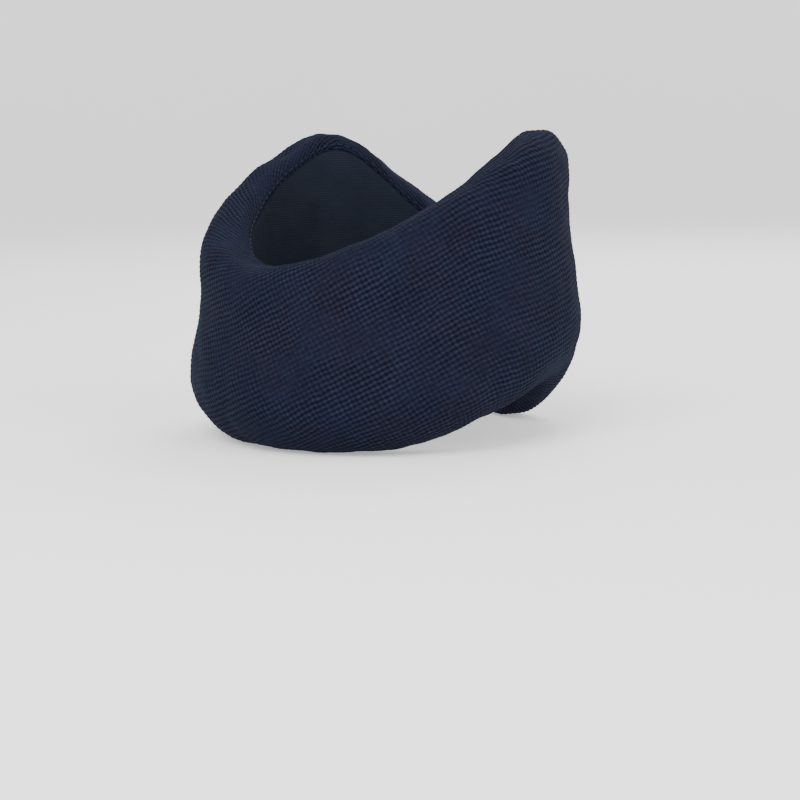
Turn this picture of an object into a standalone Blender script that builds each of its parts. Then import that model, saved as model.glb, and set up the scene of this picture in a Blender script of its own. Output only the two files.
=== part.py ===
"""Soft foam cervical collar, closed at the back with a hook-and-loop strap.

Metres, +Z up. The collar's front faces -Y, the wearer's left is +X, and the origin is on the
floor under the middle of the collar. The foam slab is one piece in the real collar. Here it and
its cover are cut into a front and two wings, so that a hinge can stand for the foam's bending.

Everything is drawn in the slab's own coordinates and then bent round the neck:
  angle   plan angle in degrees, 0 at the middle of the front, +90 at the wearer's left,
          180 at the middle of the back
  offset  distance outside the slab's nominal outer face, negative going inward
  z       height above the floor
"""
import math

import bmesh
import bpy
from mathutils import Vector

MM = 0.001

# Driving dimensions: the slab in plan
HALF_WIDTH = 80.0 * MM          # centre to nominal outer face, sideways
FRONT_DEPTH = 84.0 * MM         # centre to nominal outer face, at the front
BACK_DEPTH = 79.0 * MM          # centre to nominal outer face, at the back
THICKNESS = 22.0 * MM
CENTRE_Y = 2.0 * MM             # puts the middle of the finished collar over the origin

# Driving dimensions: the slab's edges. The top edge as (plan angle, height)
TOP_EDGE = [(0, 78 * MM), (30, 86 * MM), (60, 102 * MM), (90, 123 * MM),
            (117, 132.5 * MM), (150, 105 * MM), (180, 86 * MM)]
SHOULDER_RISE = 22.0 * MM       # how far the bottom edge clears the shoulders
FRONT_REST_ANGLE = 35.0         # the bottom edge lies on the floor inside this angle,
SHOULDER_ANGLE = 118.0          # is highest here,
BACK_REST_ANGLE = 165.0         # and is back on the floor behind this one

# Driving dimensions: the outer face. It swells low down and leans out towards the top
LOW_BULGE = 5.2 * MM
BULGE_HEIGHT = 0.25             # as a share of the slab's height
BULGE_SPREAD = 0.30
FLARE = 0.03                    # outward lean per unit of height
FLARE_ZERO = 50.0 * MM          # height where the lean adds nothing
PLAIN_FROM = 120.0              # swell and lean fade out from here
PLAIN_BY = 172.0                # to here, where the back is plain

# Corner roundings of the cross-section, as (across the thickness, along the height)
TOP_OUTER = (12.0 * MM, 18.0 * MM)
TOP_INNER = (5.0 * MM, 6.0 * MM)
LOW_OUTER = (14.0 * MM, 26.0 * MM)
LOW_OUTER_BACK = (10.0 * MM, 12.0 * MM)
LOW_INNER = (4.0 * MM, 5.0 * MM)
END_CORNER = 12.0 * MM          # rounded corners of the slab's two ends, seen from behind
END_ROUNDING = 7.0 * MM         # rounding of the ends' edges, across the thickness

# Driving dimensions: layers, gaps and the flex lines
COVER = 1.2 * MM                # fabric thickness of the cover and the lining
GAP = 0.3 * MM                  # between parts that touch in the real collar
LIP = 7.0 * MM                  # how far the cover returns over the inner face
END_LIP = 9.0 * MM              # the same at the ends
PANEL_CORNER = 6.0 * MM         # the lining's rounded corners
THREAD = 0.8 * MM               # a line of stitches, across
FLEX_ANGLE = 102.0              # where the slab is taken to bend as it opens
FLEX_OFFSET = 5.8 * MM          # the flex axis lies just outside the fullest outer face
HALF_CUT = 0.15                 # degrees left out on each side of a flex line
END_GAP = 3.0                   # degrees from the middle of the back to each end
RING_STEP = 6.0                 # degrees between the rings of a long solid
FACE_ROWS = 5                   # rows of faces up the outer face, between its roundings
CORNER_POINTS = 5               # points round each rounded corner of the cross-section
THREAD_SIDES = 6                # sides of a line of stitches
WINDOW_REACH = 2.0 * MM         # how far the lining's window is cut past the cover, each way
CUT_REACH = 1.0                 # degrees that a cutter runs past a flex line
SHARP_ANGLE = 40.0              # edges sharper than this, in degrees, are shaded sharp

# Driving dimensions: the closure. These angles run from the middle of the back, positive
# towards the wearer's left
STRAP_WIDTH = 45.0 * MM
LOOP_TAPE_WIDTH = 50.0 * MM
STRAP_THICKNESS = 1.6 * MM
TAPE_THICKNESS = 1.2 * MM       # hook tape and loop tape
STRAP_CENTRE_Z = 45.0 * MM
STRAP_ROOT = (30.0, 12.1)       # the stretch that is sewn down
STRAP_FREE = (11.9, -33.8)      # the stretch that peels
PEEL_ANGLE = 12.0               # where it leaves the slab
PULL_TAB = (-34.1, -39.0)       # the folded end to pull it by
HOOK_TAPE = (-8.0, -33.0)
LOOP_TAPE = (-6.0, -41.5)
TAPE_MARGIN = 1.5 * MM          # from the strap's edge to the tape's edge
STITCH_MARGIN = 2.6 * MM        # from a strap's edge to its line of stitches
LOOP_STITCH_MARGIN = 1.6 * MM   # the same on the loop tape, so that it clears the strap
PRESSED_BORDER = 2.6 * MM       # the loop tape is pressed flat by its stitches to this far in,
PRESSED_SLOPE = 0.6 * MM        # and rises to its full thickness over this width
PRESSED_THICKNESS = 0.4 * MM
TAPE_CORNER = 4.0 * MM
LABEL_ANGLES = (44.0, 24.0)     # blank care label, on the lining near the left end
LABEL_HEIGHTS = (34.0 * MM, 50.0 * MM)
LABEL_THICKNESS = 0.5 * MM

# The closure's layers, as offsets of each one's near side from the slab's outer face
LOOP_AT = 1.6 * GAP             # the faces under it are curved both ways
HOOK_AT = LOOP_AT + TAPE_THICKNESS + GAP
STRAP_AT = HOOK_AT + TAPE_THICKNESS + GAP
TAB_AT = HOOK_AT + 0.4 * MM    # folded over, it lies a little below the strap
TAB_THICKNESS = 2.0 * STRAP_THICKNESS

STITCHING_STEP = 8.0 * MM       # longest straight bit of a rectangle of stitches

PER_DEGREE = math.radians(HALF_WIDTH)   # arc length of one degree round the back

# Base colour and roughness of each material
NAVY = (0.017, 0.022, 0.042)
FINISHES = {
    "cover_fabric": (NAVY, 0.85),
    "lining_fabric": ((0.030, 0.036, 0.055), 0.9),
    "foam": ((0.62, 0.60, 0.52), 0.95),
    "sewing_thread": ((0.012, 0.015, 0.030), 0.7),
    "strap_webbing": ((0.010, 0.011, 0.014), 0.8),
    "hook_tape": ((0.008, 0.008, 0.010), 0.6),
    "loop_tape": ((0.012, 0.013, 0.018), 0.95),
    "label_fabric": ((0.60, 0.60, 0.58), 0.8),
}


# ---- the slab's shape ----

def smooth(t):
    """Ease from 0 to 1 as t goes from 0 to 1."""
    t = min(max(t, 0.0), 1.0)
    return t * t * (3.0 - 2.0 * t)


def top_z(angle):
    """Height of the top edge: a smooth curve through TOP_EDGE, level at front and back."""
    angle = abs(angle)
    points = [(-TOP_EDGE[1][0], TOP_EDGE[1][1])] + TOP_EDGE
    points.append((360.0 - TOP_EDGE[-2][0], TOP_EDGE[-2][1]))
    index = 1
    while index < len(TOP_EDGE) - 1 and angle > points[index + 1][0]:
        index += 1
    (a0, z0), (a1, z1), (a2, z2), (a3, z3) = points[index - 1:index + 3]
    t = (angle - a1) / (a2 - a1)
    slope1 = (z2 - z0) / (a2 - a0) * (a2 - a1)
    slope2 = (z3 - z1) / (a3 - a1) * (a2 - a1)
    return (z1 * (2 * t ** 3 - 3 * t ** 2 + 1) + slope1 * (t ** 3 - 2 * t ** 2 + t)
            + z2 * (3 * t ** 2 - 2 * t ** 3) + slope2 * (t ** 3 - t ** 2))


def low_z(angle):
    """Height of the bottom edge: on the floor at front and back, raised over the shoulders."""
    rise = smooth((abs(angle) - FRONT_REST_ANGLE) / (SHOULDER_ANGLE - FRONT_REST_ANGLE))
    fall = smooth((BACK_REST_ANGLE - abs(angle)) / (BACK_REST_ANGLE - SHOULDER_ANGLE))
    return SHOULDER_RISE * rise * fall


def shaped(angle):
    """1 round the front and sides, falling to 0 at the back, where the faces are plain."""
    return 1.0 - smooth((abs(angle) - PLAIN_FROM) / (PLAIN_BY - PLAIN_FROM))


def flare(angle, z):
    """The slab's outward lean at height z, which both faces have."""
    return shaped(angle) * FLARE * (z - FLARE_ZERO)


def lean(angle, z):
    """Offset of the outer face at height z, before its corners are rounded."""
    low, high = low_z(angle), top_z(angle)
    t = ((z - low) / (high - low) - BULGE_HEIGHT) / BULGE_SPREAD
    return flare(angle, z) + shaped(angle) * LOW_BULGE * math.exp(-t * t)


def low_outer(angle):
    """The lower outer rounding, deep at the front and plain at the back."""
    share = shaped(angle)
    return [back + share * (front - back) for front, back in zip(LOW_OUTER, LOW_OUTER_BACK)]


def drop(distance, rounding):
    """How far an elliptical corner falls back at this distance from the edge it rounds."""
    across, along = rounding
    if distance >= along:
        return 0.0
    return across * (1.0 - math.sqrt(1.0 - (1.0 - distance / along) ** 2))


def face(angle, z):
    """Offset of the finished outer face at height z, corners included."""
    low_drop = drop(z - low_z(angle), low_outer(angle))
    return lean(angle, z) - low_drop - drop(top_z(angle) - z, TOP_OUTER)


def place(angle, offset, z):
    """Slab coordinates to world coordinates."""
    t = math.radians(angle)
    depth = FRONT_DEPTH if math.cos(t) > 0.0 else BACK_DEPTH
    normal = Vector((depth * math.sin(t), -HALF_WIDTH * math.cos(t), 0.0)).normalized()
    return Vector((HALF_WIDTH * math.sin(t), CENTRE_Y - depth * math.cos(t), z)) + offset * normal


def end_angle(side, inset=0.0):
    """Plan angle of a wing's end, or of a line inset from it; side is 1 for left, -1 for right."""
    return side * (180.0 - END_GAP - inset / PER_DEGREE)


def steps(start, end, size):
    """Evenly spaced values from start to end, no further apart than size."""
    count = max(1, math.ceil(abs(end - start) / size))
    return [start + (end - start) * i / count for i in range(count + 1)]


# ---- making solids ----

def material(name):
    """A Principled material from FINISHES, made once."""
    if name in bpy.data.materials:
        return bpy.data.materials[name]
    colour, roughness = FINISHES[name]
    made = bpy.data.materials.new(name)
    made.use_nodes = True
    shader = made.node_tree.nodes["Principled BSDF"]
    shader.inputs["Base Color"].default_value = (*colour, 1.0)
    shader.inputs["Roughness"].default_value = roughness
    shader.inputs["Metallic"].default_value = 0.0
    made.diffuse_color = (*colour, 1.0)
    return made


def loft(name, rings, finish, closed=False):
    """A solid whose skin runs from ring to ring, capped at its ends or closed on itself."""
    bm = bmesh.new()
    rows = [[bm.verts.new(point) for point in ring] for ring in rings]
    pairs = list(zip(rows, rows[1:]))
    if closed:
        pairs.append((rows[-1], rows[0]))
    for row, other in pairs:
        for i in range(len(row)):
            j = (i + 1) % len(row)
            bm.faces.new((row[i], row[j], other[j], other[i]))
    if not closed:
        bm.faces.new(rows[0])
        bm.faces.new(rows[-1])
    bmesh.ops.recalc_face_normals(bm, faces=bm.faces)
    mesh = bpy.data.meshes.new(name)
    bm.to_mesh(mesh)
    bm.free()
    mesh.shade_smooth()
    mesh.set_sharp_from_angle(angle=math.radians(SHARP_ANGLE))
    mesh.materials.append(material(finish))
    made = bpy.data.objects.new(name, mesh)
    bpy.context.collection.objects.link(made)
    return made


def cut(target, cutter):
    """Take cutter away from target; the cutter stays as a hidden guide."""
    cutter.hide_render = True
    cutter.display_type = 'WIRE'
    boolean = target.modifiers.new(cutter.name, 'BOOLEAN')
    boolean.operation = 'DIFFERENCE'
    boolean.solver = 'EXACT'
    boolean.object = cutter


def stitch_line(name, path, closed=False):
    """A line of stitches as a six-sided bar along a path in slab coordinates."""
    points = [place(*stop) for stop in path]
    outward = [(place(angle, offset + MM, z) - place(angle, offset, z)).normalized()
               for angle, offset, z in path]
    rings = []
    last = len(points) - 1
    for i, point in enumerate(points):
        before = points[i - 1] if i or closed else point
        after = points[(i + 1) % len(points)] if i < last or closed else point
        along = (after - before).normalized()
        across = along.cross(outward[i]).normalized()
        lift = across.cross(along)
        turns = [math.tau * k / THREAD_SIDES for k in range(THREAD_SIDES)]
        rings.append([point + THREAD / 2 * (math.cos(t) * lift + math.sin(t) * across)
                      for t in turns])
    return loft(name, rings, "sewing_thread", closed)


# ---- foam, cover and lining ----

def corner(across, along):
    """Points round an elliptical quarter corner, edge first: (loss across, distance from edge)."""
    turns = [math.radians(90.0 * i / (CORNER_POINTS - 1)) for i in range(CORNER_POINTS)]
    return [(across * (1.0 - math.sin(t)), along * (1.0 - math.cos(t))) for t in turns]


def slab_ring(angle, inset, from_end=END_CORNER):
    """The slab's cross-section at an angle, moved in by inset all round.

    from_end is the distance in from a wing's end. Near the end the section gets lower and
    thinner, which rounds the end's corners and edges.
    """
    shorter = drop(from_end, (END_CORNER, END_CORNER))
    squeeze = inset + drop(from_end, (END_ROUNDING, END_ROUNDING))
    thin = (THICKNESS - 2.0 * squeeze) / (THICKNESS - 2.0 * inset)
    low, high = low_z(angle) + inset + shorter, top_z(angle) - inset - shorter
    roundings = [(max(across - inset, MM) * thin, max(along - inset, MM))
                 for across, along in (low_outer(angle), TOP_OUTER, TOP_INNER, LOW_INNER)]
    low_out, top_out, top_in, low_in = (corner(*rounding) for rounding in roundings)
    face_low, face_high = low + roundings[0][1], high - roundings[1][1]
    outer = [(loss, low + rise) for loss, rise in low_out]
    outer += [(0.0, face_low + (face_high - face_low) * i / FACE_ROWS) for i in range(1, FACE_ROWS)]
    outer += [(loss, high - fall) for loss, fall in reversed(top_out)]
    inner = [(loss, high - fall) for loss, fall in top_in]
    inner += [(loss, low + rise) for loss, rise in reversed(low_in)]
    ring = [place(angle, lean(angle, z) - squeeze - loss, z) for loss, z in outer]
    ring += [place(angle, flare(angle, z) - THICKNESS + squeeze + loss, z) for loss, z in inner]
    return ring


def panel_ring(angle, lip, near, far, shorter=0.0):
    """A thin section along the inner face; near and far are depths into the slab."""
    low, high = low_z(angle) + lip + shorter, top_z(angle) - lip - shorter
    corners = [(near, low), (near, high), (far, high), (far, low)]
    return [place(angle, flare(angle, z) - THICKNESS + depth, z) for depth, z in corners]


def section_angles(side, reach, end_inset):
    """Angles of a section's rings. side 0 is the front, 1 and -1 are the wings.

    reach takes the section past its flex lines by so many degrees, or stops it short of them.
    """
    if side == 0:
        return steps(-FLEX_ANGLE - reach, FLEX_ANGLE + reach, RING_STEP)
    return steps(side * (FLEX_ANGLE - reach), end_angle(side, end_inset), RING_STEP)


def slab_solid(name, finish, side, inset, reach):
    """One section of the slab, moved in by inset all round."""
    straight_to = inset + 1.5 * END_CORNER
    rings = [slab_ring(angle, inset) for angle in section_angles(side, reach, straight_to)]
    if side:
        for share in (1.0, 0.7, 0.5, 0.33, 0.18, 0.08, 0.02, 0.0):
            distance = share * END_CORNER
            rings.append(slab_ring(end_angle(side, inset + distance), inset, distance))
    return loft(name, rings, finish)


def panel_solid(name, finish, side, lip, near, far, reach):
    """One section of a panel along the inner face, lip being its distance from the edges."""
    end_lip = END_LIP + lip - LIP
    angles = section_angles(side, reach, end_lip + 1.5 * PANEL_CORNER)
    rings = [panel_ring(angle, lip, near, far) for angle in angles]
    if side:
        for share in (1.0, 0.6, 0.3, 0.1, 0.0):
            distance = share * PANEL_CORNER
            shorter = drop(distance, (PANEL_CORNER, PANEL_CORNER))
            angle = end_angle(side, end_lip + distance)
            rings.append(panel_ring(angle, lip, near, far, shorter))
    return loft(name, rings, finish)


def make_section(section, side):
    """Foam, cover and lining of the front or of one wing."""
    foam = slab_solid("foam_core_" + section, "foam", side, COVER + GAP, -HALF_CUT)
    cover = slab_solid("outer_cover_" + section, "cover_fabric", side, 0.0, -HALF_CUT)
    hollow = slab_solid("cover_hollow_" + section, "foam", side, COVER, CUT_REACH)
    window = panel_solid("cover_window_" + section, "foam", side,
                         LIP - GAP, -WINDOW_REACH, WINDOW_REACH, CUT_REACH)
    cut(cover, hollow)
    cut(cover, window)
    lining = panel_solid("inner_lining_" + section, "lining_fabric", side,
                         LIP, 0.0, COVER, -HALF_CUT)
    return [foam, cover, lining]


def make_seams(section, side):
    """The stitches that join the lining to the cover, along the top and the bottom."""
    half = THREAD / 2
    angles = section_angles(side, -HALF_CUT, END_LIP + PANEL_CORNER + THREAD)
    edges = {"top": [top_z(angle) - LIP for angle in angles],
             "bottom": [low_z(angle) + LIP for angle in angles]}
    made = []
    for edge, heights in edges.items():
        path = [(angle, flare(angle, z) - THICKNESS - GAP - half, z)
                for angle, z in zip(angles, heights)]
        made.append(stitch_line(edge + "_seam_" + section, path))
    return made


def make_end_seam(name, side):
    """The stitches round a wing's end, from the top seam's end to the bottom seam's end."""
    turns = [math.radians(15.0 * i) for i in range(7)]
    rounding = [(PANEL_CORNER * (1.0 - math.sin(t)), PANEL_CORNER * (1.0 - math.cos(t)))
                for t in turns]
    offset = -THICKNESS - GAP - THREAD / 2
    path = []
    for distance, fall in rounding:
        angle = end_angle(side, END_LIP + distance)
        path.append((angle, offset, top_z(angle) - LIP - fall))
    for distance, rise in reversed(rounding):
        angle = end_angle(side, END_LIP + distance)
        path.append((angle, offset, low_z(angle) + LIP + rise))
    return stitch_line(name, path)


# ---- the closure ----

def tape_rings(span, half_height, near, thickness, round_start=True, round_end=True):
    """Sections of a strip of tape lying over the outer face, with rounded corners.

    span is its two ends as angles from the middle of the back. near(angle) is how far its near
    side stands off the outer face, and thickness(distance) is how thick it is that far in from
    its edge.
    """
    start, end = 180.0 - span[0], 180.0 - span[1]
    corner_angle = TAPE_CORNER / PER_DEGREE
    shares = (0.0, 0.1, 0.3, PRESSED_BORDER / TAPE_CORNER, (PRESSED_BORDER + PRESSED_SLOPE) / TAPE_CORNER)
    first = start + corner_angle if round_start else start
    last = end - corner_angle if round_end else end
    angles = steps(first, last, RING_STEP)
    if round_start:
        angles = [start + share * corner_angle for share in shares] + angles
    if round_end:
        angles += [end - share * corner_angle for share in reversed(shares)]
    rings = []
    for angle in angles:
        from_tip = TAPE_CORNER
        if round_start:
            from_tip = min(from_tip, (angle - start) * PER_DEGREE)
        if round_end:
            from_tip = min(from_tip, (end - angle) * PER_DEGREE)
        shorter = drop(from_tip, (TAPE_CORNER, TAPE_CORNER))
        ring = [(near(angle), z) for z, _ in tape_rows(half_height - shorter)]
        ring += [(near(angle) + thickness(min(from_tip, inward)), z)
                 for z, inward in reversed(tape_rows(half_height - shorter))]
        rings.append([back_place(angle, lift, z) for lift, z in ring])
    return rings


def tape_rows(reach):
    """Heights across a tape, each with its distance in from the nearer edge."""
    inner = reach - PRESSED_BORDER - PRESSED_SLOPE
    low_half = [0.0, PRESSED_BORDER] + [reach - inner * (1.0 - i / 3.0) for i in range(4)]
    rows = [(STRAP_CENTRE_Z - reach + inward, inward) for inward in low_half]
    return rows + [(2.0 * STRAP_CENTRE_Z - z, inward) for z, inward in reversed(rows[:-1])]


def even(thickness):
    """The thickness of a tape that is the same all over."""
    return lambda inward: thickness


def pile(inward):
    """The loop tape's thickness: its pile is pressed flat under the stitches near its edge."""
    share = (inward - PRESSED_BORDER) / PRESSED_SLOPE
    return PRESSED_THICKNESS + (TAPE_THICKNESS - PRESSED_THICKNESS) * min(max(share, 0.0), 1.0)


def back_place(angle, lift, z):
    """A point standing off the outer face at the back; angle may pass 180 to the right wing."""
    round_angle = angle if angle <= 180.0 else angle - 360.0
    return place(round_angle, face(round_angle, z) + lift, z)


def strap_near(angle):
    """The strap lies on the cover where it is sewn and rises on to the tapes where it is free."""
    free = (angle - (180.0 - PEEL_ANGLE)) / PEEL_ANGLE
    return LOOP_AT + (STRAP_AT - LOOP_AT) * smooth(free)


def rectangle_path(span, half_height, lift):
    """A rounded rectangle standing off the outer face, as a closed path in slab coordinates."""
    start, end = 180.0 - span[0], 180.0 - span[1]
    radius = TAPE_CORNER / 2
    low, high = STRAP_CENTRE_Z - half_height, STRAP_CENTRE_Z + half_height
    outline = []
    for centre_angle, centre_z, first_turn in (
            (end - radius / PER_DEGREE, high - radius, 0.0),
            (start + radius / PER_DEGREE, high - radius, 90.0),
            (start + radius / PER_DEGREE, low + radius, 180.0),
            (end - radius / PER_DEGREE, low + radius, 270.0)):
        for turn in (0.0, 30.0, 60.0, 90.0):
            t = math.radians(first_turn + turn)
            outline.append((centre_angle + radius * math.cos(t) / PER_DEGREE,
                            centre_z + radius * math.sin(t)))
    path = []
    for (angle, z), (next_angle, next_z) in zip(outline, outline[1:] + outline[:1]):
        length = math.hypot((next_angle - angle) * PER_DEGREE, next_z - z)
        count = max(1, math.ceil(length / STITCHING_STEP))
        for i in range(count):
            share = i / count
            path.append((angle + share * (next_angle - angle), z + share * (next_z - z)))
    stops = []
    for angle, z in path:
        round_angle = angle if angle <= 180.0 else angle - 360.0
        stops.append((round_angle, face(round_angle, z) + lift, z))
    return stops


def make_loop_tape():
    """The soft tape on the right end, sewn down round its edge."""
    half = LOOP_TAPE_WIDTH / 2
    rings = tape_rings(LOOP_TAPE, half, lambda angle: LOOP_AT, pile)
    margin = LOOP_STITCH_MARGIN / PER_DEGREE
    span = (LOOP_TAPE[0] - margin, LOOP_TAPE[1] + margin)
    lift = LOOP_AT + PRESSED_THICKNESS + GAP + THREAD / 2
    path = rectangle_path(span, half - LOOP_STITCH_MARGIN, lift)
    return [loft("loop_tape", rings, "loop_tape"),
            stitch_line("loop_tape_stitching", path, closed=True)]


def make_strap_root():
    """The strap's sewn-down stretch on the left end, with its box of stitching."""
    rings = tape_rings(STRAP_ROOT, STRAP_WIDTH / 2, strap_near, even(STRAP_THICKNESS),
                       round_end=False)
    root = loft("strap_root", rings, "strap_webbing")
    margin = STITCH_MARGIN / PER_DEGREE
    span = (STRAP_ROOT[0] - margin, STRAP_ROOT[1] + margin)
    lift = LOOP_AT + STRAP_THICKNESS + GAP + THREAD / 2
    path = rectangle_path(span, STRAP_WIDTH / 2 - STITCH_MARGIN, lift)
    return [root, stitch_line("strap_root_stitching", path, closed=True)]


def make_strap():
    """The strap's free stretch, the hook tape sewn under it, and its pull tab."""
    rings = tape_rings(STRAP_FREE, STRAP_WIDTH / 2, strap_near, even(STRAP_THICKNESS),
                       round_start=False, round_end=False)
    strap = loft("hook_strap", rings, "strap_webbing")
    hook_half = STRAP_WIDTH / 2 - TAPE_MARGIN
    rings = tape_rings(HOOK_TAPE, hook_half, lambda angle: HOOK_AT, even(TAPE_THICKNESS))
    hook = loft("hook_tape", rings, "hook_tape")
    margin = STITCH_MARGIN / PER_DEGREE
    span = (HOOK_TAPE[0] - margin, HOOK_TAPE[1] + margin)
    lift = STRAP_AT + STRAP_THICKNESS + GAP + THREAD / 2
    path = rectangle_path(span, hook_half - STITCH_MARGIN, lift)
    stitching = stitch_line("hook_tape_stitching", path, closed=True)
    rings = tape_rings(PULL_TAB, STRAP_WIDTH / 2, lambda angle: TAB_AT, even(TAB_THICKNESS),
                       round_start=False)
    return [strap, hook, stitching, loft("pull_tab", rings, "strap_webbing")]


def make_label():
    """A blank care label on the lining, near the left end."""
    rings = []
    for angle in steps(180.0 - LABEL_ANGLES[0], 180.0 - LABEL_ANGLES[1], RING_STEP):
        low, high = LABEL_HEIGHTS
        corners = [(0.0, low), (0.0, high), (LABEL_THICKNESS, high), (LABEL_THICKNESS, low)]
        rings.append([place(angle, flare(angle, z) - THICKNESS - GAP - depth, z)
                      for depth, z in corners])
    return loft("care_label", rings, "label_fabric")


# ---- joint axes ----

def axis_empty(name, point, parent=None):
    """An empty on a joint's axis, for the moving pieces to hang from."""
    empty = bpy.data.objects.new(name, None)
    empty.empty_display_size = 20.0 * MM
    bpy.context.collection.objects.link(empty)
    if parent:
        hang([empty], parent)
    empty.location = point
    bpy.context.view_layer.update()
    return empty


def hang(pieces, empty):
    """Parent pieces to an empty and leave them where they are."""
    for piece in pieces:
        piece.parent = empty
        piece.matrix_parent_inverse = empty.matrix_world.inverted()


def main():
    """Build the collar."""
    for old in list(bpy.data.objects):
        bpy.data.objects.remove(old, do_unlink=True)
    make_section("front", 0)
    make_seams("front", 0)
    left = make_section("left", 1) + make_seams("left", 1)
    left += [make_end_seam("left_end_seam", 1), make_label()]
    left += make_strap_root()
    right = make_section("right", -1) + make_seams("right", -1)
    right += [make_end_seam("right_end_seam", -1)]
    right += make_loop_tape()
    strap = make_strap()
    left_axis = axis_empty("left_flex_axis", place(FLEX_ANGLE, FLEX_OFFSET, 0.0))
    right_axis = axis_empty("right_flex_axis", place(-FLEX_ANGLE, FLEX_OFFSET, 0.0))
    peel_point = back_place(180.0 - PEEL_ANGLE, LOOP_AT + STRAP_THICKNESS, STRAP_CENTRE_Z)
    peel_axis = axis_empty("strap_peel_axis", peel_point, left_axis)
    hang(left, left_axis)
    hang(right, right_axis)
    hang(strap, peel_axis)


main()
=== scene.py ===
"""Looks of the soft cervical collar: knitted cover, lining, foam, stitches and closure.

Metres, +Z up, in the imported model's own frame. The collar is drawn in the slab's coordinates, as
the CAD part is: angle (degrees in plan, 0 at the middle of the front, 90 at the wearer's left),
offset (distance outside the slab's nominal outer face) and z (height above the floor).
"""
import functools
import math

import bpy
import numpy as np
from mathutils import Matrix, Vector


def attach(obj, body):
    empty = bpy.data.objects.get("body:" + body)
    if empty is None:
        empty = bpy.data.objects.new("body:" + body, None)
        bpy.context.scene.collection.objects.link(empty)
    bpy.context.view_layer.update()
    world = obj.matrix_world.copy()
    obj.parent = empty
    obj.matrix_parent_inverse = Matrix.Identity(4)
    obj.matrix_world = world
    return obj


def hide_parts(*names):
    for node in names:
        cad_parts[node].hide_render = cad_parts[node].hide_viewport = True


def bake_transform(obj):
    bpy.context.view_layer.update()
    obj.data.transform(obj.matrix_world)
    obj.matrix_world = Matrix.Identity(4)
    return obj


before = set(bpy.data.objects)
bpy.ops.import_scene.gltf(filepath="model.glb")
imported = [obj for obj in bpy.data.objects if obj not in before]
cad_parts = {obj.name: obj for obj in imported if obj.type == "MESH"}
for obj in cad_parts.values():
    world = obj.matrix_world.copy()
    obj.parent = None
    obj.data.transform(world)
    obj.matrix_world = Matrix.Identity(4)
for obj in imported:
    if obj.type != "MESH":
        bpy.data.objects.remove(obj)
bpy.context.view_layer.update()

MM = 0.001
RNG = np.random.default_rng(7)

# The slab, as in the CAD part, but fuller low down, where the padded cover swells
HALF_WIDTH = 80.0 * MM
FRONT_DEPTH = 84.0 * MM
BACK_DEPTH = 79.0 * MM
THICKNESS = 22.0 * MM
CENTRE_Y = 2.0 * MM
TOP_EDGE = [(0, 78 * MM), (30, 86 * MM), (60, 102 * MM), (90, 123 * MM),
            (117, 132.5 * MM), (150, 105 * MM), (180, 86 * MM)]
SHOULDER_RISE = 22.0 * MM
FRONT_REST_ANGLE = 35.0
SHOULDER_ANGLE = 118.0
BACK_REST_ANGLE = 165.0
LOW_BULGE = 7.0 * MM
BULGE_HEIGHT = 0.25
BULGE_SPREAD = 0.30
FLARE = 0.03
FLARE_ZERO = 50.0 * MM
PLAIN_FROM = 120.0
PLAIN_BY = 172.0
TOP_OUTER = (10.5 * MM, 16.0 * MM)
TOP_INNER = (5.0 * MM, 6.0 * MM)
LOW_OUTER = (16.0 * MM, 29.0 * MM)
LOW_OUTER_BACK = (10.0 * MM, 12.0 * MM)
LOW_INNER = (4.0 * MM, 5.0 * MM)
END_CORNER = 12.0 * MM
LIP = 7.0 * MM
SEAM_MARGIN = 1.7 * MM          # from the lip's edge to its line of stitches
END_LIP = 9.0 * MM
PANEL_CORNER = 6.0 * MM
END_GAP = 3.0
PER_DEGREE = math.radians(HALF_WIDTH)
END_ANGLE = 180.0 - END_GAP

# The closure, as in the CAD part; these angles run from the middle of the back
STRAP_WIDTH = 45.0 * MM
STRAP_THICKNESS = 1.6 * MM
TAPE_THICKNESS = 1.2 * MM
LOOP_TAPE_WIDTH = 50.0 * MM
STRAP_CENTRE_Z = 45.0 * MM
STRAP_SPAN = (30.0, -33.8)
PEEL_ANGLE = 12.0
STRAP_TIP = -39.0
PULL_TAB_ROW = -35.9            # where its folded end is sewn down
HOOK_TAPE = (-8.0, -33.0)
LOOP_TAPE = (-6.0, -41.5)
TAPE_MARGIN = 1.5 * MM
STITCH_MARGIN = 2.6 * MM
LOOP_STITCH_MARGIN = 1.6 * MM
TAPE_CORNER = 4.0 * MM
LABEL_ANGLES = (44.0, 24.0)
LABEL_HEIGHTS = (34.0 * MM, 50.0 * MM)
LABEL_THICKNESS = 0.3 * MM
LABEL_WEAVE = 0.5 * MM
LABEL_CLEAR = 0.35 * MM
LABEL_SLACK = 0.5 * MM
LOOP_AT = 0.48 * MM
HOOK_AT = 1.98 * MM
STRAP_AT = 3.48 * MM

# Where the front's pieces are joined to the wings' pieces
SPLIT_ANGLE = 60.0              # front piece inside this plan angle, wing pieces beyond it

# The knit: a waffle whose rows climb towards the wearer's left
ROW_TILT = math.radians(28.0)
SIDE_TILT = math.radians(13.0)  # the rows are less steep further round, on both sides
LEFT_EASE = (100.0 * MM, 4.0 * MM)    # distance along the slab of that change, and its width
RIGHT_EASE = (-6.0 * MM, 9.0 * MM)
CELL = (2.02 * MM, 2.06 * MM)   # along a row, across the rows
RELIEF = 0.34 * MM
THREAD = 0.45 * MM              # sewing thread, across
STITCH = 3.1 * MM
STITCH_GAP = 0.8 * MM


# ---- the slab's shape, on arrays ----

def smooth(t):
    """Ease from 0 to 1 as t goes from 0 to 1."""
    t = np.clip(t, 0.0, 1.0)
    return t * t * (3.0 - 2.0 * t)


def unit(vectors):
    """Vectors of length 1."""
    length = np.linalg.norm(vectors, axis=-1, keepdims=True)
    return vectors / np.maximum(length, 1e-12)


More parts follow.
